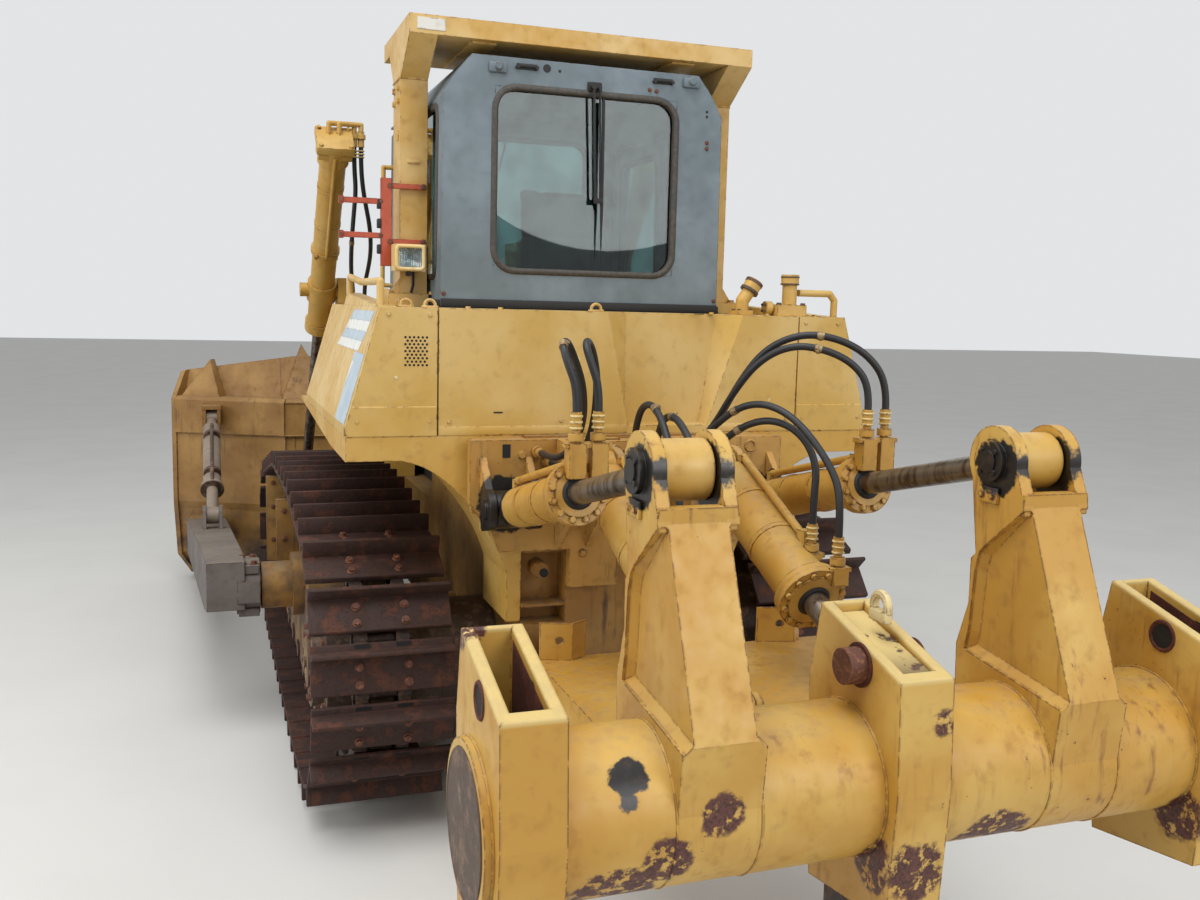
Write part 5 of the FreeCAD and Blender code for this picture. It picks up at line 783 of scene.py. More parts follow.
def bolt_ring(bm, centre, axis, circle, count, radius, height, start=0.0):
    """Bolt heads round a circle, facing along the axis."""
    axis = Vector(axis).normalized()
    across = Vector((0, 0, 1)).cross(axis).normalized() if abs(axis.z) < 0.9 else Vector((1, 0, 0))
    up = axis.cross(across)
    for k in range(count):
        angle = math.radians(start + 360.0 * k / count)
        bolt(bm, Vector(centre) + (across * math.cos(angle) + up * math.sin(angle)) * circle, axis, radius, height)


# Cab windows: rubber seals with round corners, and the panel that fills each square corner.
# A wall takes a place along it, a height and a distance out of it.


def rear_wall(u, v, out):
    return (u, CAB_REAR - out, v)


def front_wall(u, v, out):
    return (u, CAB_FRONT + out, v)


def left_wall(u, v, out):
    return (-710.0 + 12.0 * (v - 1900.0) / 1400.0 - out, u, v)


def right_wall(u, v, out):
    return (-left_wall(u, v, out)[0], u, v)


def rounded_path(low_u, high_u, low_v, high_v, radius):
    """Nine points round each corner of a rectangle, in order."""
    points = []
    for cu, cv, start in ((high_u - radius, high_v - radius, 0), (low_u + radius, high_v - radius, 90),
                          (low_u + radius, low_v + radius, 180), (high_u - radius, low_v + radius, 270)):
        for k in range(9):
            angle = math.radians(start + 90 * k / 8)
            points.append((cu + radius * math.cos(angle), cv + radius * math.sin(angle)))
    return points


def band_round(bm, wall, sides, radius, profile):
    """Band round a rounded rectangle; profile lists distance outside the path and height off the wall."""
    low_u, high_u, low_v, high_v = sides
    loops = []
    for off, out in profile:
        path = rounded_path(low_u - off, high_u + off, low_v - off, high_v + off, radius + off)
        loops.append([bm.verts.new(spot(*wall(u, v, out))) for u, v in path])
    for a, b in zip(loops, loops[1:] + loops[:1]):
        join_loops(bm, a, b)


SEAL_PROFILE = [(-14, -20), (-14, 4), (-9, 9), (-2, 11), (6, 10), (13, 6), (16, 1), (16, -3), (2, -4), (2, -20)]
# piece, body of the wall, wall, sides of the opening, corner radius
WINDOWS = [
    ("rear_window", "cab_shell", rear_wall, (-455, 455, 2515, 3358), 105),
    ("front_window", "cab_shell", front_wall, (-480, 480, 2440, 3330), 90),
    ("quarter_window_left", "cab_shell", left_wall, (130, 580, 2480, 3270), 70),
    ("quarter_window_right", "cab_shell", right_wall, (130, 580, 2480, 3270), 70),
    ("door_window_left", "cab_door_left", left_wall, (750, 1310, 2480, 3200), 70),
    ("door_window_right", "cab_door_right", right_wall, (750, 1310, 2480, 3200), 70),
]


def window_corners(wall, sides, radius):
    """Cab sheet that rounds off the four square corners of an opening."""
    def run(bm):
        low_u, high_u, low_v, high_v = sides
        path = rounded_path(*sides, radius)
        for n, corner in enumerate(((high_u, high_v), (low_u, high_v), (low_u, low_v), (high_u, low_v))):
            outline = [corner] + path[9 * n:9 * n + 9]
            slab(bm, [wall(u, v, -0.4) for u, v in outline], [wall(u, v, -44.5) for u, v in outline])
    return run


for window_name, carrier, wall, sides, radius in WINDOWS:
    carrier_body = body_under(carrier)
    make_piece(window_name + "_corners", cab_blue, carrier_body, window_corners(wall, sides, radius))
    make_piece(window_name + "_seal", seal_rubber, carrier_body,
               lambda bm, wall=wall, sides=sides, radius=radius: band_round(bm, wall, sides, radius, SEAL_PROFILE), 60)
    make_piece(window_name + "_seal_inside", black_rubber, carrier_body,
               lambda bm, wall=wall, sides=sides, radius=radius: band_round(
                   bm, wall, sides, radius, [(-14, -25), (-14, -50), (14, -50), (14, -46), (3, -44), (3, -25)]), 60)


# Rear of the cab above the window.


@piece("cab_roof_lugs", cab_blue)
def roof_lugs(bm):
    for x, z in ((-445, 3440), (526, 3453)):
        block(bm, (x - 44, 2, z - 26), (x + 44, 24, z + 22), 10)
        bar(bm, (x, 4, z + 4), (x, -10, z + 4), 22, 18, 16)


@piece("cab_roof_latches", black_rubber)
def roof_latches(bm):
    for x, z in ((-306, 3453), (378, 3447)):
        block(bm, (x - 50, 15, z - 14), (x + 50, 21, z + 14), 4)
        bar(bm, (x - 42, 12, z + 2), (x + 42, 12, z + 2), 9, 10)
        for end in (-46, 46):
            bar(bm, (x + end, 22, z - 4), (x + end, 2, z - 4), 9, 10)
    for x, z, radius in ((-209, 3455, 19), (-146, 3448, 7), (617, 3322, 7), (617, 3299, 7)):
        bar(bm, (x, 24, z), (x, 18.6, z), radius, 16)


@piece("cab_bolts", bolt_rust)
def cab_bolts(bm):
    for x, z in ((622, 3174), (622, 3146), (-690, 2400), (690, 2400), (310, 3402), (345, 3398)):
        bolt(bm, (x, CAB_REAR - 1, z), (0, -1, 0), 8, 7)
    for side in (-1, 1):
        for z in (2420, 2900, 3240):
            bolt(bm, left_wall(600, z, 0) if side < 0 else right_wall(600, z, 0), (side, 0, 0), 8, 7)


@piece("rear_wiper", black_rubber)
def rear_wiper(bm):
    """Parallel-arm wiper hanging from its motor above the middle of the rear window."""
    block(bm, (-8, 4, 3366), (62, 26, 3412), 6)
    bar(bm, (14, 6, 3388), (14, -24, 3388), 15, 16)
    bar(bm, (44, 6, 3384), (44, -18, 3384), 10, 14)
    bar(bm, (14, -18, 3388), (34, -14, 2862), 6, 8)
    bar(bm, (44, -14, 3384), (58, -12, 2862), 5, 8)
    block(bm, (24, -22, 2846), (70, -8, 2872), 4)
    bar(bm, (58, -14, 2866), (66, -12, 2824), 6, 8)
    slab(bm, [(60, -10, 3330), (74, -10, 3330), (76, -10, 2810), (70, -10, 2585), (64, -10, 2810)],
         [(60, 1, 3330), (74, 1, 3330), (76, 1, 2810), (70, 1, 2585), (64, 1, 2810)])


@piece("cab_skirt_strip", black_rubber)
def skirt_strip(bm):
    """Rubber strip that closes the gap under the cab's rear wall."""
    block(bm, (-704, 6, 2337), (704, 19, 2378), 4)
    for side in (-1, 1):
        block(bm, (side * 712 - 7, 20, 2337), (side * 712 + 7, 640, 2372), 4)


@piece("cab_roof_skin", cab_blue)
def cab_roof(bm):
    """Pressed roof skin with a raised middle, and the rain rails over the doors."""
    block(bm, (-470, 120, 3486), (470, 1380, 3508), 12)
    for side in (-1, 1):
        block(bm, (side * 685 - 27, 560, 3330), (side * 685 + 27, 1440, 3342), 4)


def door_handle(side):
    def run(bm):
        wall = left_wall if side < 0 else right_wall
        low = wall(725, 2555, 0)
        block(bm, (min(low[0], low[0] + side * 14), 700, 2520), (max(low[0], low[0] + side * 14), 748, 2600), 5)
        pipe(bm, [wall(712, 2540, 10), wall(712, 2540, 40), wall(712, 2640, 40), wall(712, 2640, 4)], 8)
    return run


@piece("cab_grab_rails", yellow)
def cab_grab_rails(bm):
    for side, wall in ((-1, left_wall), (1, right_wall)):
        pipe(bm, [wall(1452, 2450, -4), wall(1452, 2450, 52), wall(1452, 3120, 52), wall(1452, 3120, -4)], 13)


@piece("front_wiper", black_rubber)
def front_wiper(bm):
    block(bm, (-40, CAB_FRONT - 4, 3348), (40, CAB_FRONT + 26, 3392), 6)
    bar(bm, (0, CAB_FRONT + 22, 3372), (-120, CAB_FRONT + 18, 2900), 6, 8)
    bar(bm, (-120, CAB_FRONT + 16, 3200), (-120, CAB_FRONT + 16, 2620), 6, 8)


for side, word in ((-1, "left"), (1, "right")):
    make_piece("cab_door_handle_" + word, black_rubber, body_under("cab_door_" + word), door_handle(side))


# Operator's seat: a pedestal with a stuffed cushion and a stuffed back.


def stuffed(name, low, high, cap_mm, seams):
    """Cushion blown up from a box, held within cap_mm of it, with its face pulled in along its seams."""
    low = Vector(low)
    high = Vector(high)
    bm = bmesh.new()
    block(bm, low, high, min(high - low) * 0.24)
    made = put_in_scene(name, bm, seat_vinyl)
    bpy.context.view_layer.objects.active = made
    remesh = made.modifiers.new("even", "REMESH")
    remesh.mode = "VOXEL"
    remesh.voxel_size = 0.006
    even = bpy.data.meshes.new_from_object(made.evaluated_get(bpy.context.evaluated_depsgraph_get()))
    made.modifiers.clear()
    made.data = even
    even.name = name
    start = [vert.co.copy() for vert in even.vertices]
    cloth = made.modifiers.new("swell", "CLOTH")
    cloth.settings.use_pressure = True
    cloth.settings.uniform_pressure_force = 4.0
    cloth.settings.effector_weights.gravity = 0.0
    cloth.settings.quality = 5
    cloth.point_cache.frame_start = 1
    cloth.point_cache.frame_end = 20
    for moment in range(1, 21):
        bpy.context.scene.frame_set(moment)
    swollen = bpy.data.meshes.new_from_object(made.evaluated_get(bpy.context.evaluated_depsgraph_get()))
    made.modifiers.clear()
    for vert, before, after in zip(even.vertices, start, swollen.vertices):
        move = after.co - before
        if move.length > cap_mm / 1000.0:
            move *= cap_mm / 1000.0 / move.length
        vert.co = before + move
    bpy.data.meshes.remove(swollen)
    bpy.context.scene.frame_set(1)
    # sewn channels across the cushion pull its face in
    for axis, place in seams:
        line = place / 1000.0 if axis != 1 else (place + DRAWING_SHIFT) / 1000.0
        for vert in even.vertices:
            near = abs(vert.co[axis] - line)
            if near < 0.030:
                middle = spot(*((low + high) / 2))
                pull = 0.010 * (1.0 - near / 0.030) ** 2
                for other in range(3):
                    if other != axis:
                        vert.co[other] -= max(-1.0, min(1.0, (vert.co[other] - middle[other]) * 6.0)) * pull
    for face in even.polygons:
        face.use_smooth = True
    even.materials.clear()
    even.materials.append(seat_vinyl)
    smooth = made.modifiers.new("smooth", "SUBSURF")
    smooth.levels = 1
    smooth.render_levels = 1
    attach(made, "machine")
    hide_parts("cab_seat")


def seat_pedestal(bm):
    block(bm, (-200, 470, 1947), (200, 870, 2060), 10)
    block(bm, (-150, 500, 2060), (150, 840, 2170), 12)
    block(bm, (-235, 430, 2165), (235, 915, 2182), 6)
    for side in (-1, 1):
        block(bm, (side * 246 - 6, 350, 2200), (side * 246 + 6, 470, 2420), 5)


stuffed("seat_cushion", (-246, 448, 2196), (246, 905, 2286), 18, ((0, -120), (0, 120), (1, 610)))
stuffed("seat_backrest", (-236, 342, 2300), (236, 424, 2940), 16, ((2, 2500), (2, 2700), (0, -130), (0, 130)))
pedestal = make_piece("seat_pedestal", console_plastic, "machine", seat_pedestal)
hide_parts("cab_seat")


# Rear box, roll-over frame and lamp.


def side_face(y, z, out):
    """Place on the left box's slanted side."""
    slope = 140.0 / 489.0
    lean = math.hypot(1.0, slope)
    return (-1075.0 - (TANK_TOP - z) * slope - out / lean, y, z + out * slope / lean)


def side_label(rows):
    """Thin film on the slanted side.

    Each row is the far and near Y of its top edge, the same of its foot, then top and foot Z.
    """
    def run(bm):
        for far_top, near_top, far_low, near_low, top, low in rows:
            outline = ((near_top, top), (far_top, top), (far_low, low), (near_low, low))
            slab(bm, [side_face(y, z, 1.2) for y, z in outline], [side_face(y, z, -0.5) for y, z in outline])
    return run


make_piece("side_stripes_blue", stripe_blue, "machine", side_label([
    (150, -500, 215, -460, 2316, 2272), (285, -430, 350, -385, 2228, 2186), (-250, -545, -220, -545, 2140, 1850)]))
make_piece("side_stripes_white", stripe_white, "machine", side_label([
    (215, -460, 285, -430, 2272, 2228), (350, -385, 430, -340, 2186, 2144), (-250, -300, -220, -262, 2100, 1990)]))


@piece("vent_hole_shade", painted_hole_shade)
def vent_hole_shade(bm):
    """Painted shade of the staggered round holes through the left rear door, as dark discs on its face."""
    for row in range(9):
        for k in range(6 if row % 2 == 0 else 5):
            x = -972 + 17.6 * k + (8.8 if row % 2 else 0)
            z = 2214 - 14.2 * row
            bar(bm, (x, -598, z), (x, -600.7, z), 5.2, 10)


@piece("box_slot_shade", painted_hole_shade)
def box_gap_shade(bm):
    """Painted shade of the small slots along the top of the left box and under the lifting eyes."""
    for y in (-500, -330, -120):
        block(bm, (-1064, y, TANK_TOP - 2), (-1048, y + 52, TANK_TOP + 0.8), 0)
    for x, y in ((-1000, -420), (-960, -250), (-700, -560), (-520, -562), (330, -560)):
        block(bm, (x, y, TANK_TOP - 2), (x + 46, y + 12, TANK_TOP + 0.8), 0)
    block(bm, (-600, -602, 1900), (-560, -600.4, 1906), 0)


@piece("box_lower_folds", box_yellow)
def box_folds(bm):
    """Folded lower edges of the rear doors and the tank, and the doors' rims."""
    for side in (-1, 1):
        xs = (side * 842, side * 1186)
        foot = ((side * 1214, 1848), (side * 1204, 1808), (xs[0], 1808))
        slab(bm, [(x, -603, z) for x, z in ((xs[0], 1927), (xs[1], 1927), *foot)],
             [(x, -598, z) for x, z in ((xs[0], 1933), (xs[1] - side * 2, 1933), *foot)])
    block(bm, (-832, -602.5, 1808), (2, -598, 1846), 2)
    block(bm, (396, -602.5, 1808), (832, -598, 1846), 2)


@piece("lifting_eyes", frame_yellow)
def lifting_eyes(bm):
    for x, y in ((-865, -560), (-140, -562), (-933, -380)):
        torus(bm, (x, y, 2345), (0, 1, 0), 22, 7, -10.0, 200.0, 14)
        block(bm, (x - 34, y - 9, 2333), (x + 34, y + 9, 2344), 3)
    block(bm, (-1016, -352, TANK_TOP), (-1000, -300, 2412), 4)
    block(bm, (-958, -300, TANK_TOP), (-946, -262, 2372), 3)
    for x, y in ((-700, -540), (-560, -540), (420, -540), (700, -545), (960, -520), (-1020, -470), (-930, -470)):
        bolt(bm, (x, y, TANK_TOP), (0, 0, 1), 11, 9)


@piece("rear_box_bolts", box_yellow)
def door_bolts(bm):
    for side in (-1, 1):
        for x, z in ((872, 2306), (1040, 2306), (872, 1868), (1168, 1868)):
            bolt(bm, (side * x, -600, z), (0, -1, 0), 8, 6)
    for x in (-790, -300, 640, 790):
        bolt(bm, (x, -600, 1866), (0, -1, 0), 8, 6)


@piece("paint_dabs", rim_cream)
def paint_dabs(bm):
    """Small pale spots where the panel was touched up."""
    for x, y, z, r in ((-1010, -600.3, 2048, 9), (-236, -600.3, 2128, 16), (700, -600.3, 1952, 7)):
        bar(bm, (x, y + 1, z), (x, y - 0.4, z), r, 14)


@piece("tank_cap_details", worn_steel)
def cap_detail(bm):
    """Ribbed filler cap with its chain lug, and the capped post's band and flange bolts."""
    bar(bm, (612, -520, 2441), (619, -520, 2452), 44, 24)
    bar(bm, (635, -520, 2477), (642, -520, 2488), 43, 24)
    for z in (2482, 2514):
        torus(bm, (825, -518, z), (0, 0, 1), 41, 3.5)
    for x, y in ((748, -562), (748, -470), (872, -562), (872, -470)):
        bolt(bm, (x, y, 2387), (0, 0, 1), 11, 9)
    for x in (552, 612):
        for y in (-548, -492):
            bolt(bm, (x, y, 2357), (0, 0, 1), 7, 6)
    bolt_ring(bm, (695, -518, 2371), (-1, 0, 0), 20, 4, 5, 6, 45)


# Middle of the work lamp's face.
LAMP_X = -827.5
LAMP_Z = 2562.5


@piece("lamp_rim", lamp_shell, sharp=60)
def lamp_rim(bm):
    band_round(bm, lambda u, v, out: (u, 130 - out, v), (-893, -762, 2507, 2618), 20,
               [(-12, -4), (-12, 9), (-6, 14), (2, 13), (7, 6), (7, -4)])


@piece("lamp_reflector", lamp_mirror, sharp=60)
def lamp_dome(bm):
    """Silvered reflector, dished behind its glass."""
    rings = []
    for share in (1.0, 0.86, 0.66, 0.42, 0.2):
        depth = 7.0 - 5.0 * (1.0 - share * share)
        path = rounded_path(LAMP_X - 56 * share, LAMP_X + 56 * share, LAMP_Z - 46 * share, LAMP_Z + 46 * share,
                            18 * share)
        rings.append([bm.verts.new(spot(u, 130 - depth, v)) for u, v in path])
    for a, b in zip(rings, rings[1:]):
        join_loops(bm, a, b)
    bm.faces.new(rings[-1])
    back = [bm.verts.new(vert.co + Vector((0, 0.012, 0))) for vert in rings[0]]
    join_loops(bm, back, rings[0])
    bm.faces.new(back)


@piece("lamp_lens_flutes", lamp_clear, sharp=60)
def lamp_flutes(bm):
    """Clear lens with upright flutes."""
    for k in range(13):
        x = LAMP_X - 50 + 50 / 6.0 * k
        bar(bm, (x, 124, 2519), (x, 124, 2606), 4.3, 8)


@piece("lamp_foot_and_cable", black_rubber)
def lamp_foot(bm):
    block(bm, (-836, 150, 2478), (-818, 210, 2500), 3)
    bolt(bm, (-827, 152, 2489), (0, -1, 0), 10, 8)
    pipe(bm, [(-800, 222, 2560), (-792, 246, 2540), (-790, 254, 2440), (-800, 256, 2400)], 6)


@piece("roll_frame_blank_plate", number_plate)
def frame_plate(bm):
    block(bm, (-818, 17.5, 3574), (-690, 20.5, 3626), 0)


@piece("roll_frame_bolts", frame_yellow)
def frame_bolts(bm):
    for side in (-1, 1):
        for x in (side * 900, side * 700):
            for y in (250, 350, 490):
                bolt(bm, (x, y, 2395), (0, 0, 1), 16, 14)
        for y in (300, 420):
            for z in (3300, 3360):
                bolt(bm, (side * 853, y, z), (side, 0, 0), 14, 12)


@piece("roll_frame_gussets", frame_yellow)
def frame_gussets(bm):
    """Welded gussets and small tabs of the roll-over frame."""
    for side in (-1, 1):
        slab(bm, [(side * 853, 262, 2395), (side * 905, 262, 2395), (side * 853, 262, 2470)],
             [(side * 853, 276, 2395), (side * 905, 276, 2395), (side * 853, 276, 2470)])
        block(bm, (side * 853 - 5, 300, 3120), (side * 853 + 5, 340, 3170), 2)
        block(bm, (side * 790 - 30, 252, 3010), (side * 790 + 30, 262, 3026), 3)
    for x in (-500, 500):
        block(bm, (x - 60, 60, 3545), (x + 60, 700, 3557), 4)


@piece("roll_frame_welds", frame_yellow)
def frame_welds(bm):
    for side in (-1, 1):
        for z in (2397, 3400):
            pipe(bm, [(side * 855, 262, z), (side * 855, 458, z)], 5, 8)
            pipe(bm, [(side * 853, 258, z), (side * 725, 258, z)], 5, 8)


@piece("leg_clamp_bolts", bolt_rust)
def clamp_bolts(bm):
    for z in (2640, 2899):
        for x in (-905, -745):
            bolt(bm, (x, 238, z), (0, -1, 0), 12, 10)
    for z in (2665, 2824):
        bolt(bm, (-945, 242, z), (0, -1, 0), 10, 8)
        bar(bm, (-1130, 232, z), (-1130, 268, z), 9, 12)


@piece("leg_clamp_rubbers", black_rubber)
def clamp_rubbers(bm):
    for z in (2580, 2700, 2790):
        block(bm, (-962, 236, z), (-944, 276, z + 44), 4)


# Hull rear plates.


# Painted shade: dark sheets where the hull's rear plates have a slot and round holes.
@piece("hull_plate_hole_shade", painted_hole_shade)
def hull_plate_hole_shade(bm):
    block(bm, (-582, -692, 1722), (-548, -689, 1778), 0)
    bar(bm, (488, -692, 1630), (488, -688, 1630), 22, 20)
    for side in (-1, 1):
        bar(bm, (side * 385, -668, 1215), (side * 385, -664.6, 1215), 20, 18)


@piece("hull_plate_bolts", mount_yellow)
def hull_plate_bolts(bm):
    for x, z in ((-498, 1732), (501, 1739), (-660, 1560), (660, 1560), (-120, 1420), (120, 1420), (-220, 1300),
                 (220, 1300)):
        bolt(bm, (x, -690, z), (0, -1, 0), 15, 14)
    torus(bm, (565, -693, 1754), (0, 1, 0), 24, 5)
    for x in (-150, 150):
        for z in (1660, 1770):
            bolt(bm, (x, -735, z), (0, -1, 0), 12, 10)


@piece("drain_pipe", yellow)
def drain_pipe(bm):
    pipe(bm, [(696, -700, 1585), (722, -716, 1560), (742, -720, 1490), (800, -716, 1380), (850, -706, 1290),
              (852, -640, 1262)], 14)


# Ripper.
RIPPER_BODY = body_under("ripper_beam")
SHANK_BODY = body_under("ripper_shank")
TILT_BARREL_BODY = body_under("tilt_barrels")
LIFT_BARREL_BODY = body_under("ripper_lift_barrels")


@piece("beam_weld_beads", ripper_yellow, RIPPER_BODY, sharp=60)
def beam_welds(bm):
    """Weld beads where the pockets and towers meet the round beam."""
    for x in POCKETS:
        for side in (-1, 1):
            torus(bm, (x + side * 85.0, *BEAM_AXIS), (1, 0, 0), 213.5, 5.5, steps=72, sides=6)
    for x in (-TILT_X, TILT_X):
        for side in (-1, 1):
            torus(bm, (x + side * 117.0, *BEAM_AXIS), (1, 0, 0), 213.5, 4.5, steps=72, sides=6)


@piece("beam_end_discs", worn_steel, RIPPER_BODY)
def beam_ends(bm):
    for side in (-1, 1):
        bar(bm, (side * 1164, *BEAM_AXIS), (side * 1167.5, *BEAM_AXIS), 188, 48)
        torus(bm, (side * 1166, *BEAM_AXIS), (1, 0, 0), 189, 4, steps=56, sides=6)


@piece("pocket_inside_rust", pocket_dark, RIPPER_BODY)
def pocket_liners(bm):
    """Rust inside the side walls of the three pockets."""
    outline = ((-2470, 1496), (-2800, 1398), (-2800, 1120), (-2470, 1120))
    for x in POCKETS:
        for side in (-1, 1):
            slab(bm, [(x + side * 47.9, y, z) for y, z in outline], [(x + side * 46.8, y, z) for y, z in outline])


@piece("pocket_pin_hole_shade", painted_hole_shade, RIPPER_BODY)
def pocket_pin_hole_shade(bm):
    """Painted shade: dark discs where the two empty pockets have a pin hole and no pin."""
    for x in (-1058, 1058):
        for side in (-1, 1):
            face = x + side * 82.5
            bar(bm, (face - side, *SHANK_PIN), (face + side * 1.0, *SHANK_PIN), 37, 24)


@piece("pocket_pin_rims", pocket_dark, RIPPER_BODY)
def pocket_pin_rims(bm):
    for x in POCKETS:
        for side in (-1, 1):
            torus(bm, (x + side * 82.5, *SHANK_PIN), (1, 0, 0), 44, 6, steps=32, sides=6)


@piece("tower_pin_caps", ripper_yellow, RIPPER_BODY)
def tower_caps(bm):
    """Bolted caps over the tilt pins, with the keeper plate below each."""
    for x in (-TILT_X, TILT_X):
        for side in (-1, 1):
            face = x + side * 115.5
            bar(bm, (face, *TILT_EYE_PIN), (face + side * 16, *TILT_EYE_PIN), 56, 28)
            bar(bm, (face + side * 16, *TILT_EYE_PIN), (face + side * 24, *TILT_EYE_PIN), 34, 24)
            bolt_ring(bm, (face + side * 16, *TILT_EYE_PIN), (side, 0, 0), 42, 4, 9, 8, 45)
            block(bm, (min(face, face + side * 12), -2520, 1806), (max(face, face + side * 12), -2434, 1856), 4)
            for y in (-2500, -2454):
                bolt(bm, (face + side * 12, y, 1831), (side, 0, 0), 10, 8)


@piece("shank_lifting_eye", rim_cream, SHANK_BODY)
def shank_eye(bm):
    """Lifting eye on the shank's head, and its foot."""
    torus(bm, (0, -2612, 1556), (1, 0, 0), 33, 13, -20.0, 220.0, 20, 8)
    block(bm, (-15, -2652, 1512), (15, -2572, 1546), 6)


@piece("shank_pin_washers", pocket_dark, RIPPER_BODY)
def shank_washer(bm):
    for side in (-1, 1):
        bar(bm, (side * 83, *SHANK_PIN), (side * 90, *SHANK_PIN), 62, 28)


# Ripper cylinders: black gland seals, ribbed hose ends, strap bands round the barrels.


def along_cylinder(x, line, distance):
    """Place on a ripper cylinder's axis, this far from its base pin."""
    base, eye = line
    run = Vector((0.0, eye[0] - base[0], eye[1] - base[1])).normalized()
    return Vector((x, *base)) + run * distance


def gland_seals(centre, line, distance, rod):
    """Black cone seal where each rod leaves its barrel."""
    def run(bm):
        for x in (-centre, centre):
            bar(bm, along_cylinder(x, line, distance), along_cylinder(x, line, distance + 9), rod + 17, 28, rod + 9)
    return run


def ribbed_ends(centre, ports):
    """Three pressed rings round each hose's end fitting, and its nut."""
    def run(bm):
        for x in (-centre, centre):
            for off_x, y, z in ports:
                for lift in (-14, -34, -54):
                    torus(bm, (x + off_x, y, z + lift), (0, 0, 1), 19, 4.5, steps=20, sides=6)
                bar(bm, (x + off_x, y, z - 74), (x + off_x, y, z - 98), 22, 6)
    return run


def barrel_bands(centre, line, distances, radius):
    """Hollow strap bands that hold the steel pipe to each barrel."""
    def run(bm):
        for x in (-centre, centre):
            for distance in distances:
                collar(bm, along_cylinder(x, line, distance - 11), along_cylinder(x, line, distance + 11),
                       radius + 3.5, radius - 4)
    return run


# name, body, distance to each side, line, where the seal sits, rod radius, hose ports, band places, barrel radius
for name, body, centre, line, seal, rod, ports, bands, radius in (
        ("tilt", TILT_BARREL_BODY, TILT_X, TILT_LINE, 870, 40,
         ((-12, -1642, 2005), (72, -1628, 2005)), (330, 560), 82),
        ("ripper_lift", LIFT_BARREL_BODY, LIFT_X, RIPPER_LIFT_LINE, 893, 45,
         ((54, -1690, 1597), (79, -1830, 1575)), (320, 560), 100)):
    make_piece(name + "_gland_seals", black_rubber, body, gland_seals(centre, line, seal, rod))
    make_piece(name + "_hose_ends", crimp_yellow, body, ribbed_ends(centre, ports))
    make_piece(name + "_barrel_bands", barrel_yellow, body, barrel_bands(centre, line, bands, radius))


# Blade-lift cylinders: square heads, bands, pipes, gland seals and the ends of the left one's two hoses.
LIFT_PAIR_BODY = body_under("lift_barrels")
LIFT_PIVOT = Vector((0.0, 2480.0, 2422.0))
LIFT_RUN = (Vector((0.0, 4010.0, 770.0)) - LIFT_PIVOT).normalized()
LIFT_ACROSS = LIFT_RUN.cross(Vector((1, 0, 0)))


def lift_place(side, distance):
    """Place on a blade-lift cylinder's axis, this far from its pivot towards the rod."""
    return Vector((side * 1000.0, 0.0, 0.0)) + LIFT_PIVOT + LIFT_RUN * distance


def square_head(bm, centre, size, tall):
    """Square block set square to the cylinder's axis."""
    turn = Matrix((Vector((1, 0, 0)), LIFT_ACROSS, LIFT_RUN)).transposed().to_4x4()
    scale = Matrix.Diagonal((size / 1000, size / 1000, tall / 1000, 1.0))
    verts = bmesh.ops.create_cube(bm, size=1.0, matrix=Matrix.Translation(spot(*centre)) @ turn @ scale)["verts"]
    round_edges(bm, verts, 6)


@piece("lift_cylinder_caps", yellow, LIFT_PAIR_BODY)
def lift_caps(bm):
    """Square bolted head on the cap end, bands round the barrel and the ring of the gland."""
    for side in (-1, 1):
        square_head(bm, lift_place(side, -1166), 214, 52)
        square_head(bm, lift_place(side, -1116), 196, 40)
        collar(bm, lift_place(side, 318), lift_place(side, 344), 93, 60)
        for a in (-86, 86):
            for b in (-86, 86):
                bolt(bm, lift_place(side, -1192) + Vector((a, 0, 0)) + LIFT_ACROSS * b, -LIFT_RUN, 13, 12)
        bolt_ring(bm, lift_place(side, 344), LIFT_RUN, 74, 10, 10, 9)
        for distance in (-840, -560):
            collar(bm, lift_place(side, distance - 12), lift_place(side, distance + 12), 81, 74)


@piece("lift_cylinder_pipes", yellow, LIFT_PAIR_BODY)
def lift_pipes(bm):
    """Flanges where the bent pipes meet the head, and the steel pipe down each barrel."""
    for x in (-970, -1030):
        bar(bm, (x, 1712, 3296), (x, 1708, 3330), 24, 6)
    for x in (-878, -838):
        bar(bm, (x, 1760, 3330), (x, 1760, 3352), 21, 6)
    for side in (-1, 1):
        pipe(bm, [lift_place(side, distance) + LIFT_ACROSS * off
                  for distance, off in ((-1120, 104), (-1010, 92), (-380, 92), (-345, 84))], 11)
        for distance in (-352, -338):
            for x in (-62, 62):
                bolt(bm, lift_place(side, distance) + Vector((x, 0, 0)) + LIFT_ACROSS * 72, LIFT_ACROSS, 9, 16)


@piece("lift_gland_seals", black_rubber, LIFT_PAIR_BODY)
def lift_seals(bm):
    for side in (-1, 1):
        bar(bm, lift_place(side, 346), lift_place(side, 356), 56, 30, 46)


@piece("blade_hose_ends", crimp_yellow, LIFT_PAIR_BODY)
def blade_hose_ends(bm):
    """Ribbed ends of the two hoses under the bent pipes."""
    for x in (-878, -838):
        for height in (3204, 3222, 3240):
            torus(bm, (x, 1760, height), (0, 0, 1), 16, 5, steps=20, sides=6)


# Undercarriage.


@piece("final_drive_bolts", bolt_rust)
def drive_bolts(bm):
    for side in (-1, 1):
        bolt_ring(bm, (side * 1260, *SPROCKET_AXLE), (side, 0, 0), 254, 20, 17, 16)
        bolt_ring(bm, (side * 1312, *SPROCKET_AXLE), (side, 0, 0), 168, 12, 14, 14)
        bolt_ring(bm, (side * 1100, *SPROCKET_AXLE), (side, 0, 0), 395, 27, 15, 14, 6.67)


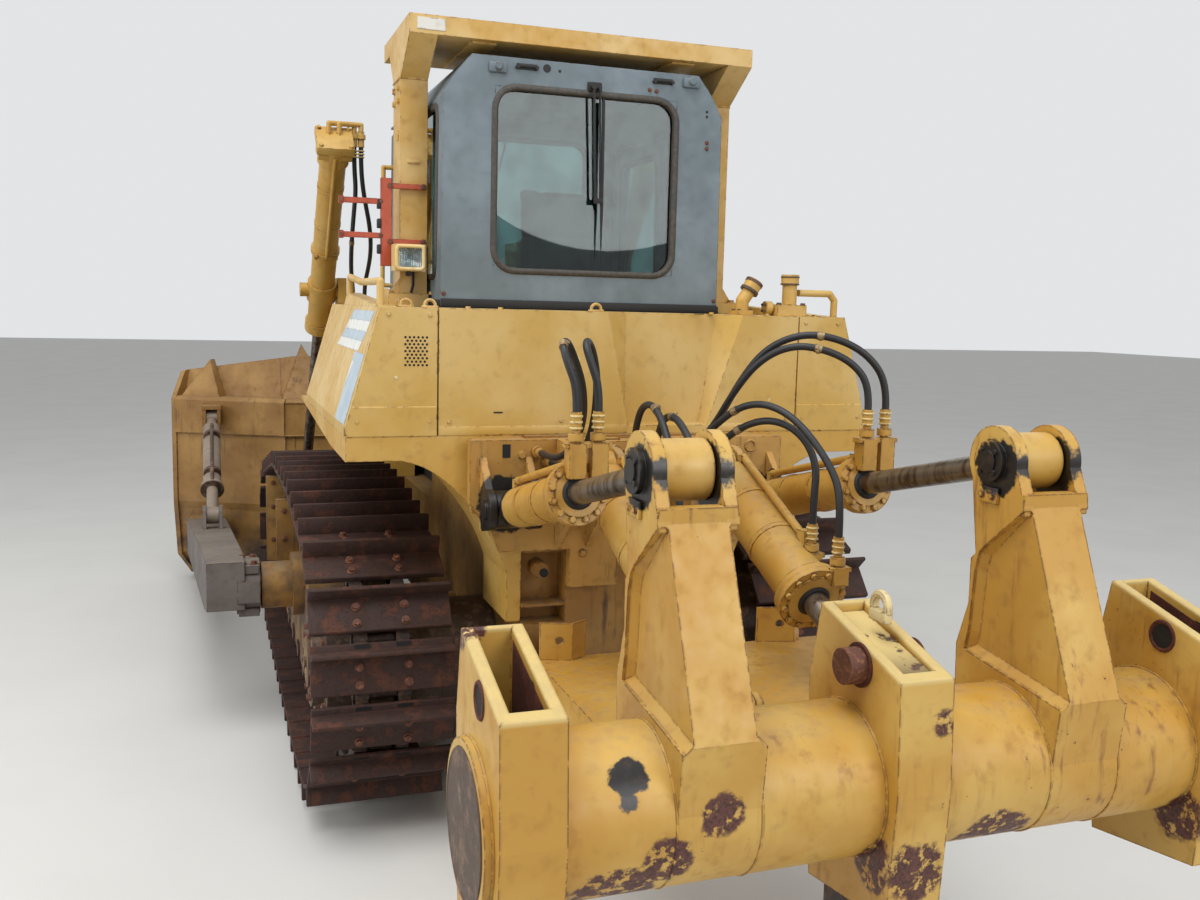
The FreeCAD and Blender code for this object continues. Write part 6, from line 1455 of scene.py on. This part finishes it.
@piece("final_drive_covers", guard_yellow)
def drive_cover(bm):
    for side in (-1, 1):
        bar(bm, (side * 1311, *SPROCKET_AXLE), (side * 1326, *SPROCKET_AXLE), 118, 40)
        bar(bm, (side * 1326, *SPROCKET_AXLE), (side * 1336, *SPROCKET_AXLE), 26, 6)
        bar(bm, (side * 1326, 70, 650), (side * 1333, 70, 650), 17, 6)


@piece("roller_caps", worn_steel)
def roller_caps(bm):
    for side in (-1, 1):
        for k in range(7):
            y = 640.0 + (2810.0 - 640.0) * k / 6
            bar(bm, (side * 1249, y, 331), (side * 1262, y, 331), 40, 24)
            for shift in (-27, 27):
                bolt(bm, (side * 1250, y + shift, 372), (side, 0, 0), 12, 12)
        bar(bm, (side * 1249, *IDLER_AXLE), (side * 1268, *IDLER_AXLE), 66, 32)
        bolt_ring(bm, (side * 1268, *IDLER_AXLE), (side, 0, 0), 48, 6, 11, 10)
        block(bm, (side * 1254 - 6, 1980, 560), (side * 1254 + 6, 2260, 700), 6)
        for y in (2010, 2230):
            for z in (585, 675):
                bolt(bm, (side * 1260, y, z), (side, 0, 0), 10, 9)


@piece("track_frame_bolts", bolt_rust)
def guard_bolts(bm):
    for side in (-1, 1):
        for y in (700, 900, 1600, 1800, 2500):
            bolt(bm, (side * 1250, y, 822), (side, 0, 0), 12, 11)
        for y in (1350, 2400):
            for z in (780, 1000, 1160):
                bolt(bm, (side * 1330, y - 20, z), (0, -1, 0), 12, 10)


# Blade and push arms.
BLADE_BODY = body_under("blade")


@piece("push_arm_cap_bolts", bolt_rust, BLADE_BODY)
def arm_cap_bolts(bm):
    for side in (-1, 1):
        for y in (1030, 1190):
            for x in (1510, 1568):
                bolt(bm, (side * x, y, 930), (0, 0, 1), 17, 18)


@piece("blade_edge_bolts", bolt_rust, body_under("cutting_edges"))
def edge_bolts(bm):
    """Two rows of plough bolts along the cutting edge, on round the swept wings."""
    swing = math.radians(25.41)
    # the edge leans back by 0.513 for each unit of height, and its bolts stand square to it
    lean, forward_part, up_part = 0.513, 0.8896, 0.4566
    for side in (-1, 1):
        for forward, z in ((395 - lean * 120, 130), (395 - lean * 210, 220)):
            for k in range(7):
                x, y = 85 + 165 * k, 4110 + forward
                out = Vector((0, forward_part, up_part))
                bar(bm, Vector((side * x, y, z)) - out * 6, Vector((side * x, y, z)) + out * 5, 19, 12, 14)
            for k in range(5):
                dx, dy = 100 + 165 * k, forward - 90
                x = 1150 + dx * math.cos(swing) - dy * math.sin(swing)
                y = 4200 + dx * math.sin(swing) + dy * math.cos(swing)
                out = Vector((-side * forward_part * math.sin(swing), forward_part * math.cos(swing), up_part))
                bar(bm, Vector((side * x, y, z)) - out * 6, Vector((side * x, y, z)) + out * 5, 19, 12, 14)


@piece("blade_box_seams", blade_stain_and_shade, BLADE_BODY)
def plate_seams(bm):
    """Weld seams along the stiffening boxes behind the blade."""
    for z, y in ((700, 4108), (1265, 4089), (1530, 4089)):
        pipe(bm, [(-1140, y, z), (1140, y, z)], 7, 8)
    for x in (-1060, -560, 560, 1060):
        pipe(bm, [(x, 4109, 705), (x, 4109, 1262)], 6, 8)


@piece("blade_strut_pipes", worn_steel, body_under("blade_struts"))
def strut_pipes(bm):
    """Steel supply pipe along each brace, with its clips and the collar by the lower eye."""
    for side in (-1, 1):
        low = Vector((side * 1703, 3150, 815))
        top = Vector((side * 1690, 4252, 1400))
        run = (top - low).normalized()
        rise = run.cross(Vector((1, 0, 0))) * -1.0
        pipe(bm, [low + run * distance + rise * off
                  for distance, off in ((330, 70), (380, 92), (1010, 92), (1060, 66))], 13)
        for distance in (450, 930):
            bar(bm, low + run * (distance - 14) + rise * 40, low + run * (distance + 14) + rise * 40, 62, 24)
        bar(bm, low + run * 296, low + run * 306, 84, 30)


# Hood, radiator guard, engine doors.


def door_louvres(side):
    """Two stacks of nine slanted louvres on an engine door."""
    def run(bm):
        for first in (1660, 1990):
            for k in range(9):
                z = 1700 + 52 * k
                under, above = [
                    [(side * 519, first, z + up), (side * 519, first + 240, z + up),
                     (side * out, first + 240, z - fall), (side * out, first, z - fall)]
                    for up, out, fall in ((0, 535, 22), (8, 537, 16))]
                slab(bm, under, above)
    return run


def door_latches(side):
    def run(bm):
        for z in (1640, 2140):
            block(bm, (side * 524 - 6, 1575, z), (side * 524 + 6, 1625, z + 46), 4)
            bar(bm, (side * 528, 1600, z + 23), (side * 540, 1600, z + 23), 13, 18)
    return run


for side, word in ((-1, "left"), (1, "right")):
    door_body = body_under("engine_door_" + word)
    make_piece("engine_door_louvres_" + word, yellow, door_body, door_louvres(side))
    make_piece("engine_door_latches_" + word, black_rubber, door_body, door_latches(side))


@piece("exhaust_rings", exhaust_black)
def stack_rings(bm):
    for z in (2380, 2560, 2740, 2806):
        torus(bm, (-210, 2050, z), (0, 0, 1), 62, 5, steps=36, sides=6)
    bar(bm, (-210, 2050, 2440), (-210, 2050, 2690), 88, 36)
    bar(bm, (-210, 2118, 2824), (-210, 1988, 2856), 4, 8)


@piece("exhaust_flap", exhaust_black)
def stack_flap(bm):
    lid = bar(bm, (-210, 2050, 2838), (-210, 2050, 2844), 70, 30)
    hinge = spot(-210, 2116, 2824)
    turn = Matrix.Translation(hinge) @ Matrix.Rotation(math.radians(-14), 4, "X") @ Matrix.Translation(-hinge)
    bmesh.ops.transform(bm, matrix=turn, verts=lid)
    block(bm, (-222, 2108, 2800), (-198, 2132, 2850), 3)


@piece("intake_bands", yellow)
def intake_bands(bm):
    for z in (2612, 2676, 2728):
        torus(bm, (230, 1850, z), (0, 0, 1), 150, 5, steps=48, sides=6)
    bar(bm, (230, 1850, 2738), (230, 1850, 2762), 130, 40, 60)
    torus(bm, (230, 1850, 2420), (0, 0, 1), 76, 6, steps=36, sides=6)


@piece("radiator_core", link_steel)
def radiator_core(bm):
    block(bm, (-469, 2990, 1262), (469, 3040, 2198), 0)


@piece("hood_bolts", yellow)
def guard_bolt_rows(bm):
    for x in (-545, 545):
        for z in (1240, 1480, 1720, 1960, 2200, 2280):
            bolt(bm, (x, 3160, z), (0, 1, 0), 14, 12)
    for side in (-1, 1):
        for y in (2680, 2900, 3100):
            for z in (1260, 2250):
                bolt(bm, (side * 620, y, z), (side, 0, 0), 14, 12)
        for y in (1600, 1900, 2200):
            bolt(bm, (side * 400, y, 2330), (0, 0, 1), 9, 7)


@piece("head_lamps", yellow)
def head_lamps(bm):
    for side in (-1, 1):
        block(bm, (side * 400 - 70, 2990, 2350), (side * 400 + 70, 3080, 2450), 12)
        bar(bm, (side * 400, 3035, 2328), (side * 400, 3035, 2352), 14, 14)


@piece("head_lamp_glass", lamp_mirror)
def head_lamp_faces(bm):
    for side in (-1, 1):
        block(bm, (side * 400 - 60, 3076, 2360), (side * 400 + 60, 3084, 2440), 6)


# Camera, light and floor.


def stand_camera():
    """Camera at the photograph's place and angle."""
    yaw, pitch, roll = (math.radians(a) for a in (19.585, -7.238, 1.438))
    forward = Vector((math.sin(yaw) * math.cos(pitch), math.cos(yaw) * math.cos(pitch), math.sin(pitch)))
    right = Vector((math.cos(yaw), -math.sin(yaw), 0.0))
    up = right.cross(forward)
    right, up = right * math.cos(roll) + up * math.sin(roll), up * math.cos(roll) - right * math.sin(roll)
    data = bpy.data.cameras.new("camera")
    data.lens_unit = "MILLIMETERS"
    data.sensor_width = 36.0
    # focal length of the fit in pixels of the 1200 pixel wide photograph
    data.lens = 1124.8 * data.sensor_width / 1200.0
    data.clip_end = 200.0
    camera = bpy.data.objects.new("camera", data)
    turn = Matrix((right, up, -forward)).transposed().to_4x4()
    camera.matrix_world = Matrix.Translation(spot(-1757, -5203, 2355)) @ turn
    bpy.context.scene.collection.objects.link(camera)
    bpy.context.scene.camera = camera


def soft_lamp(name, place, aim, size, watts):
    """Round area lamp at a place in metres, turned to its aim."""
    data = bpy.data.lights.new(name, "AREA")
    data.shape = "DISK"
    data.size = size
    data.energy = watts
    lamp = bpy.data.objects.new(name, data)
    turn = (Vector(place) - Vector(aim)).to_track_quat("Z", "Y").to_matrix().to_4x4()
    lamp.matrix_world = Matrix.Translation(place) @ turn
    bpy.context.scene.collection.objects.link(lamp)


def lay_floor():
    """Pale studio floor and the pale background behind the machine."""
    bm = bmesh.new()
    bmesh.ops.create_grid(bm, x_segments=1, y_segments=1, size=60.0)
    # even pale grey that keeps the shadow soft
    floor_paint = plain_finish("floor_pale_paint", "#d4d3cf", 0.8, "#cccbc7", 900.0, 0.3)
    floor = put_in_scene("floor", bm, floor_paint)
    world = bpy.data.worlds.new("studio")
    bpy.context.scene.world = world
    world.use_nodes = True
    tree = world.node_tree
    tree.nodes.clear()
    path = add(tree, "ShaderNodeLightPath")
    seen = add(tree, "maximum", path.outputs["Is Camera Ray"],
                   add(tree, "maximum", path.outputs["Is Glossy Ray"], path.outputs["Is Transmission Ray"]))
    strength = add(tree, "ShaderNodeMapRange", Value=seen, i1=0.0, i2=1.0, i3=0.54, i4=0.86).outputs[0]
    sky = add(tree, "ShaderNodeBackground", Color=linear("#f2f4f6"), Strength=strength)
    out = add(tree, "ShaderNodeOutputWorld")
    tree.links.new(sky.outputs[0], out.inputs[0])


stand_camera()
soft_lamp("soft_overhead", (-3.0, -4.0, 11.0), (0.0, -0.5, 1.0), 9.0, 900.0)
soft_lamp("soft_side", (-11.0, -2.0, 5.0), (0.0, 0.0, 1.2), 6.0, 380.0)
soft_lamp("soft_rear", (4.0, -12.0, 6.0), (0.0, -2.0, 1.2), 6.0, 420.0)
lay_floor()
bpy.context.scene.view_settings.view_transform = "Standard"
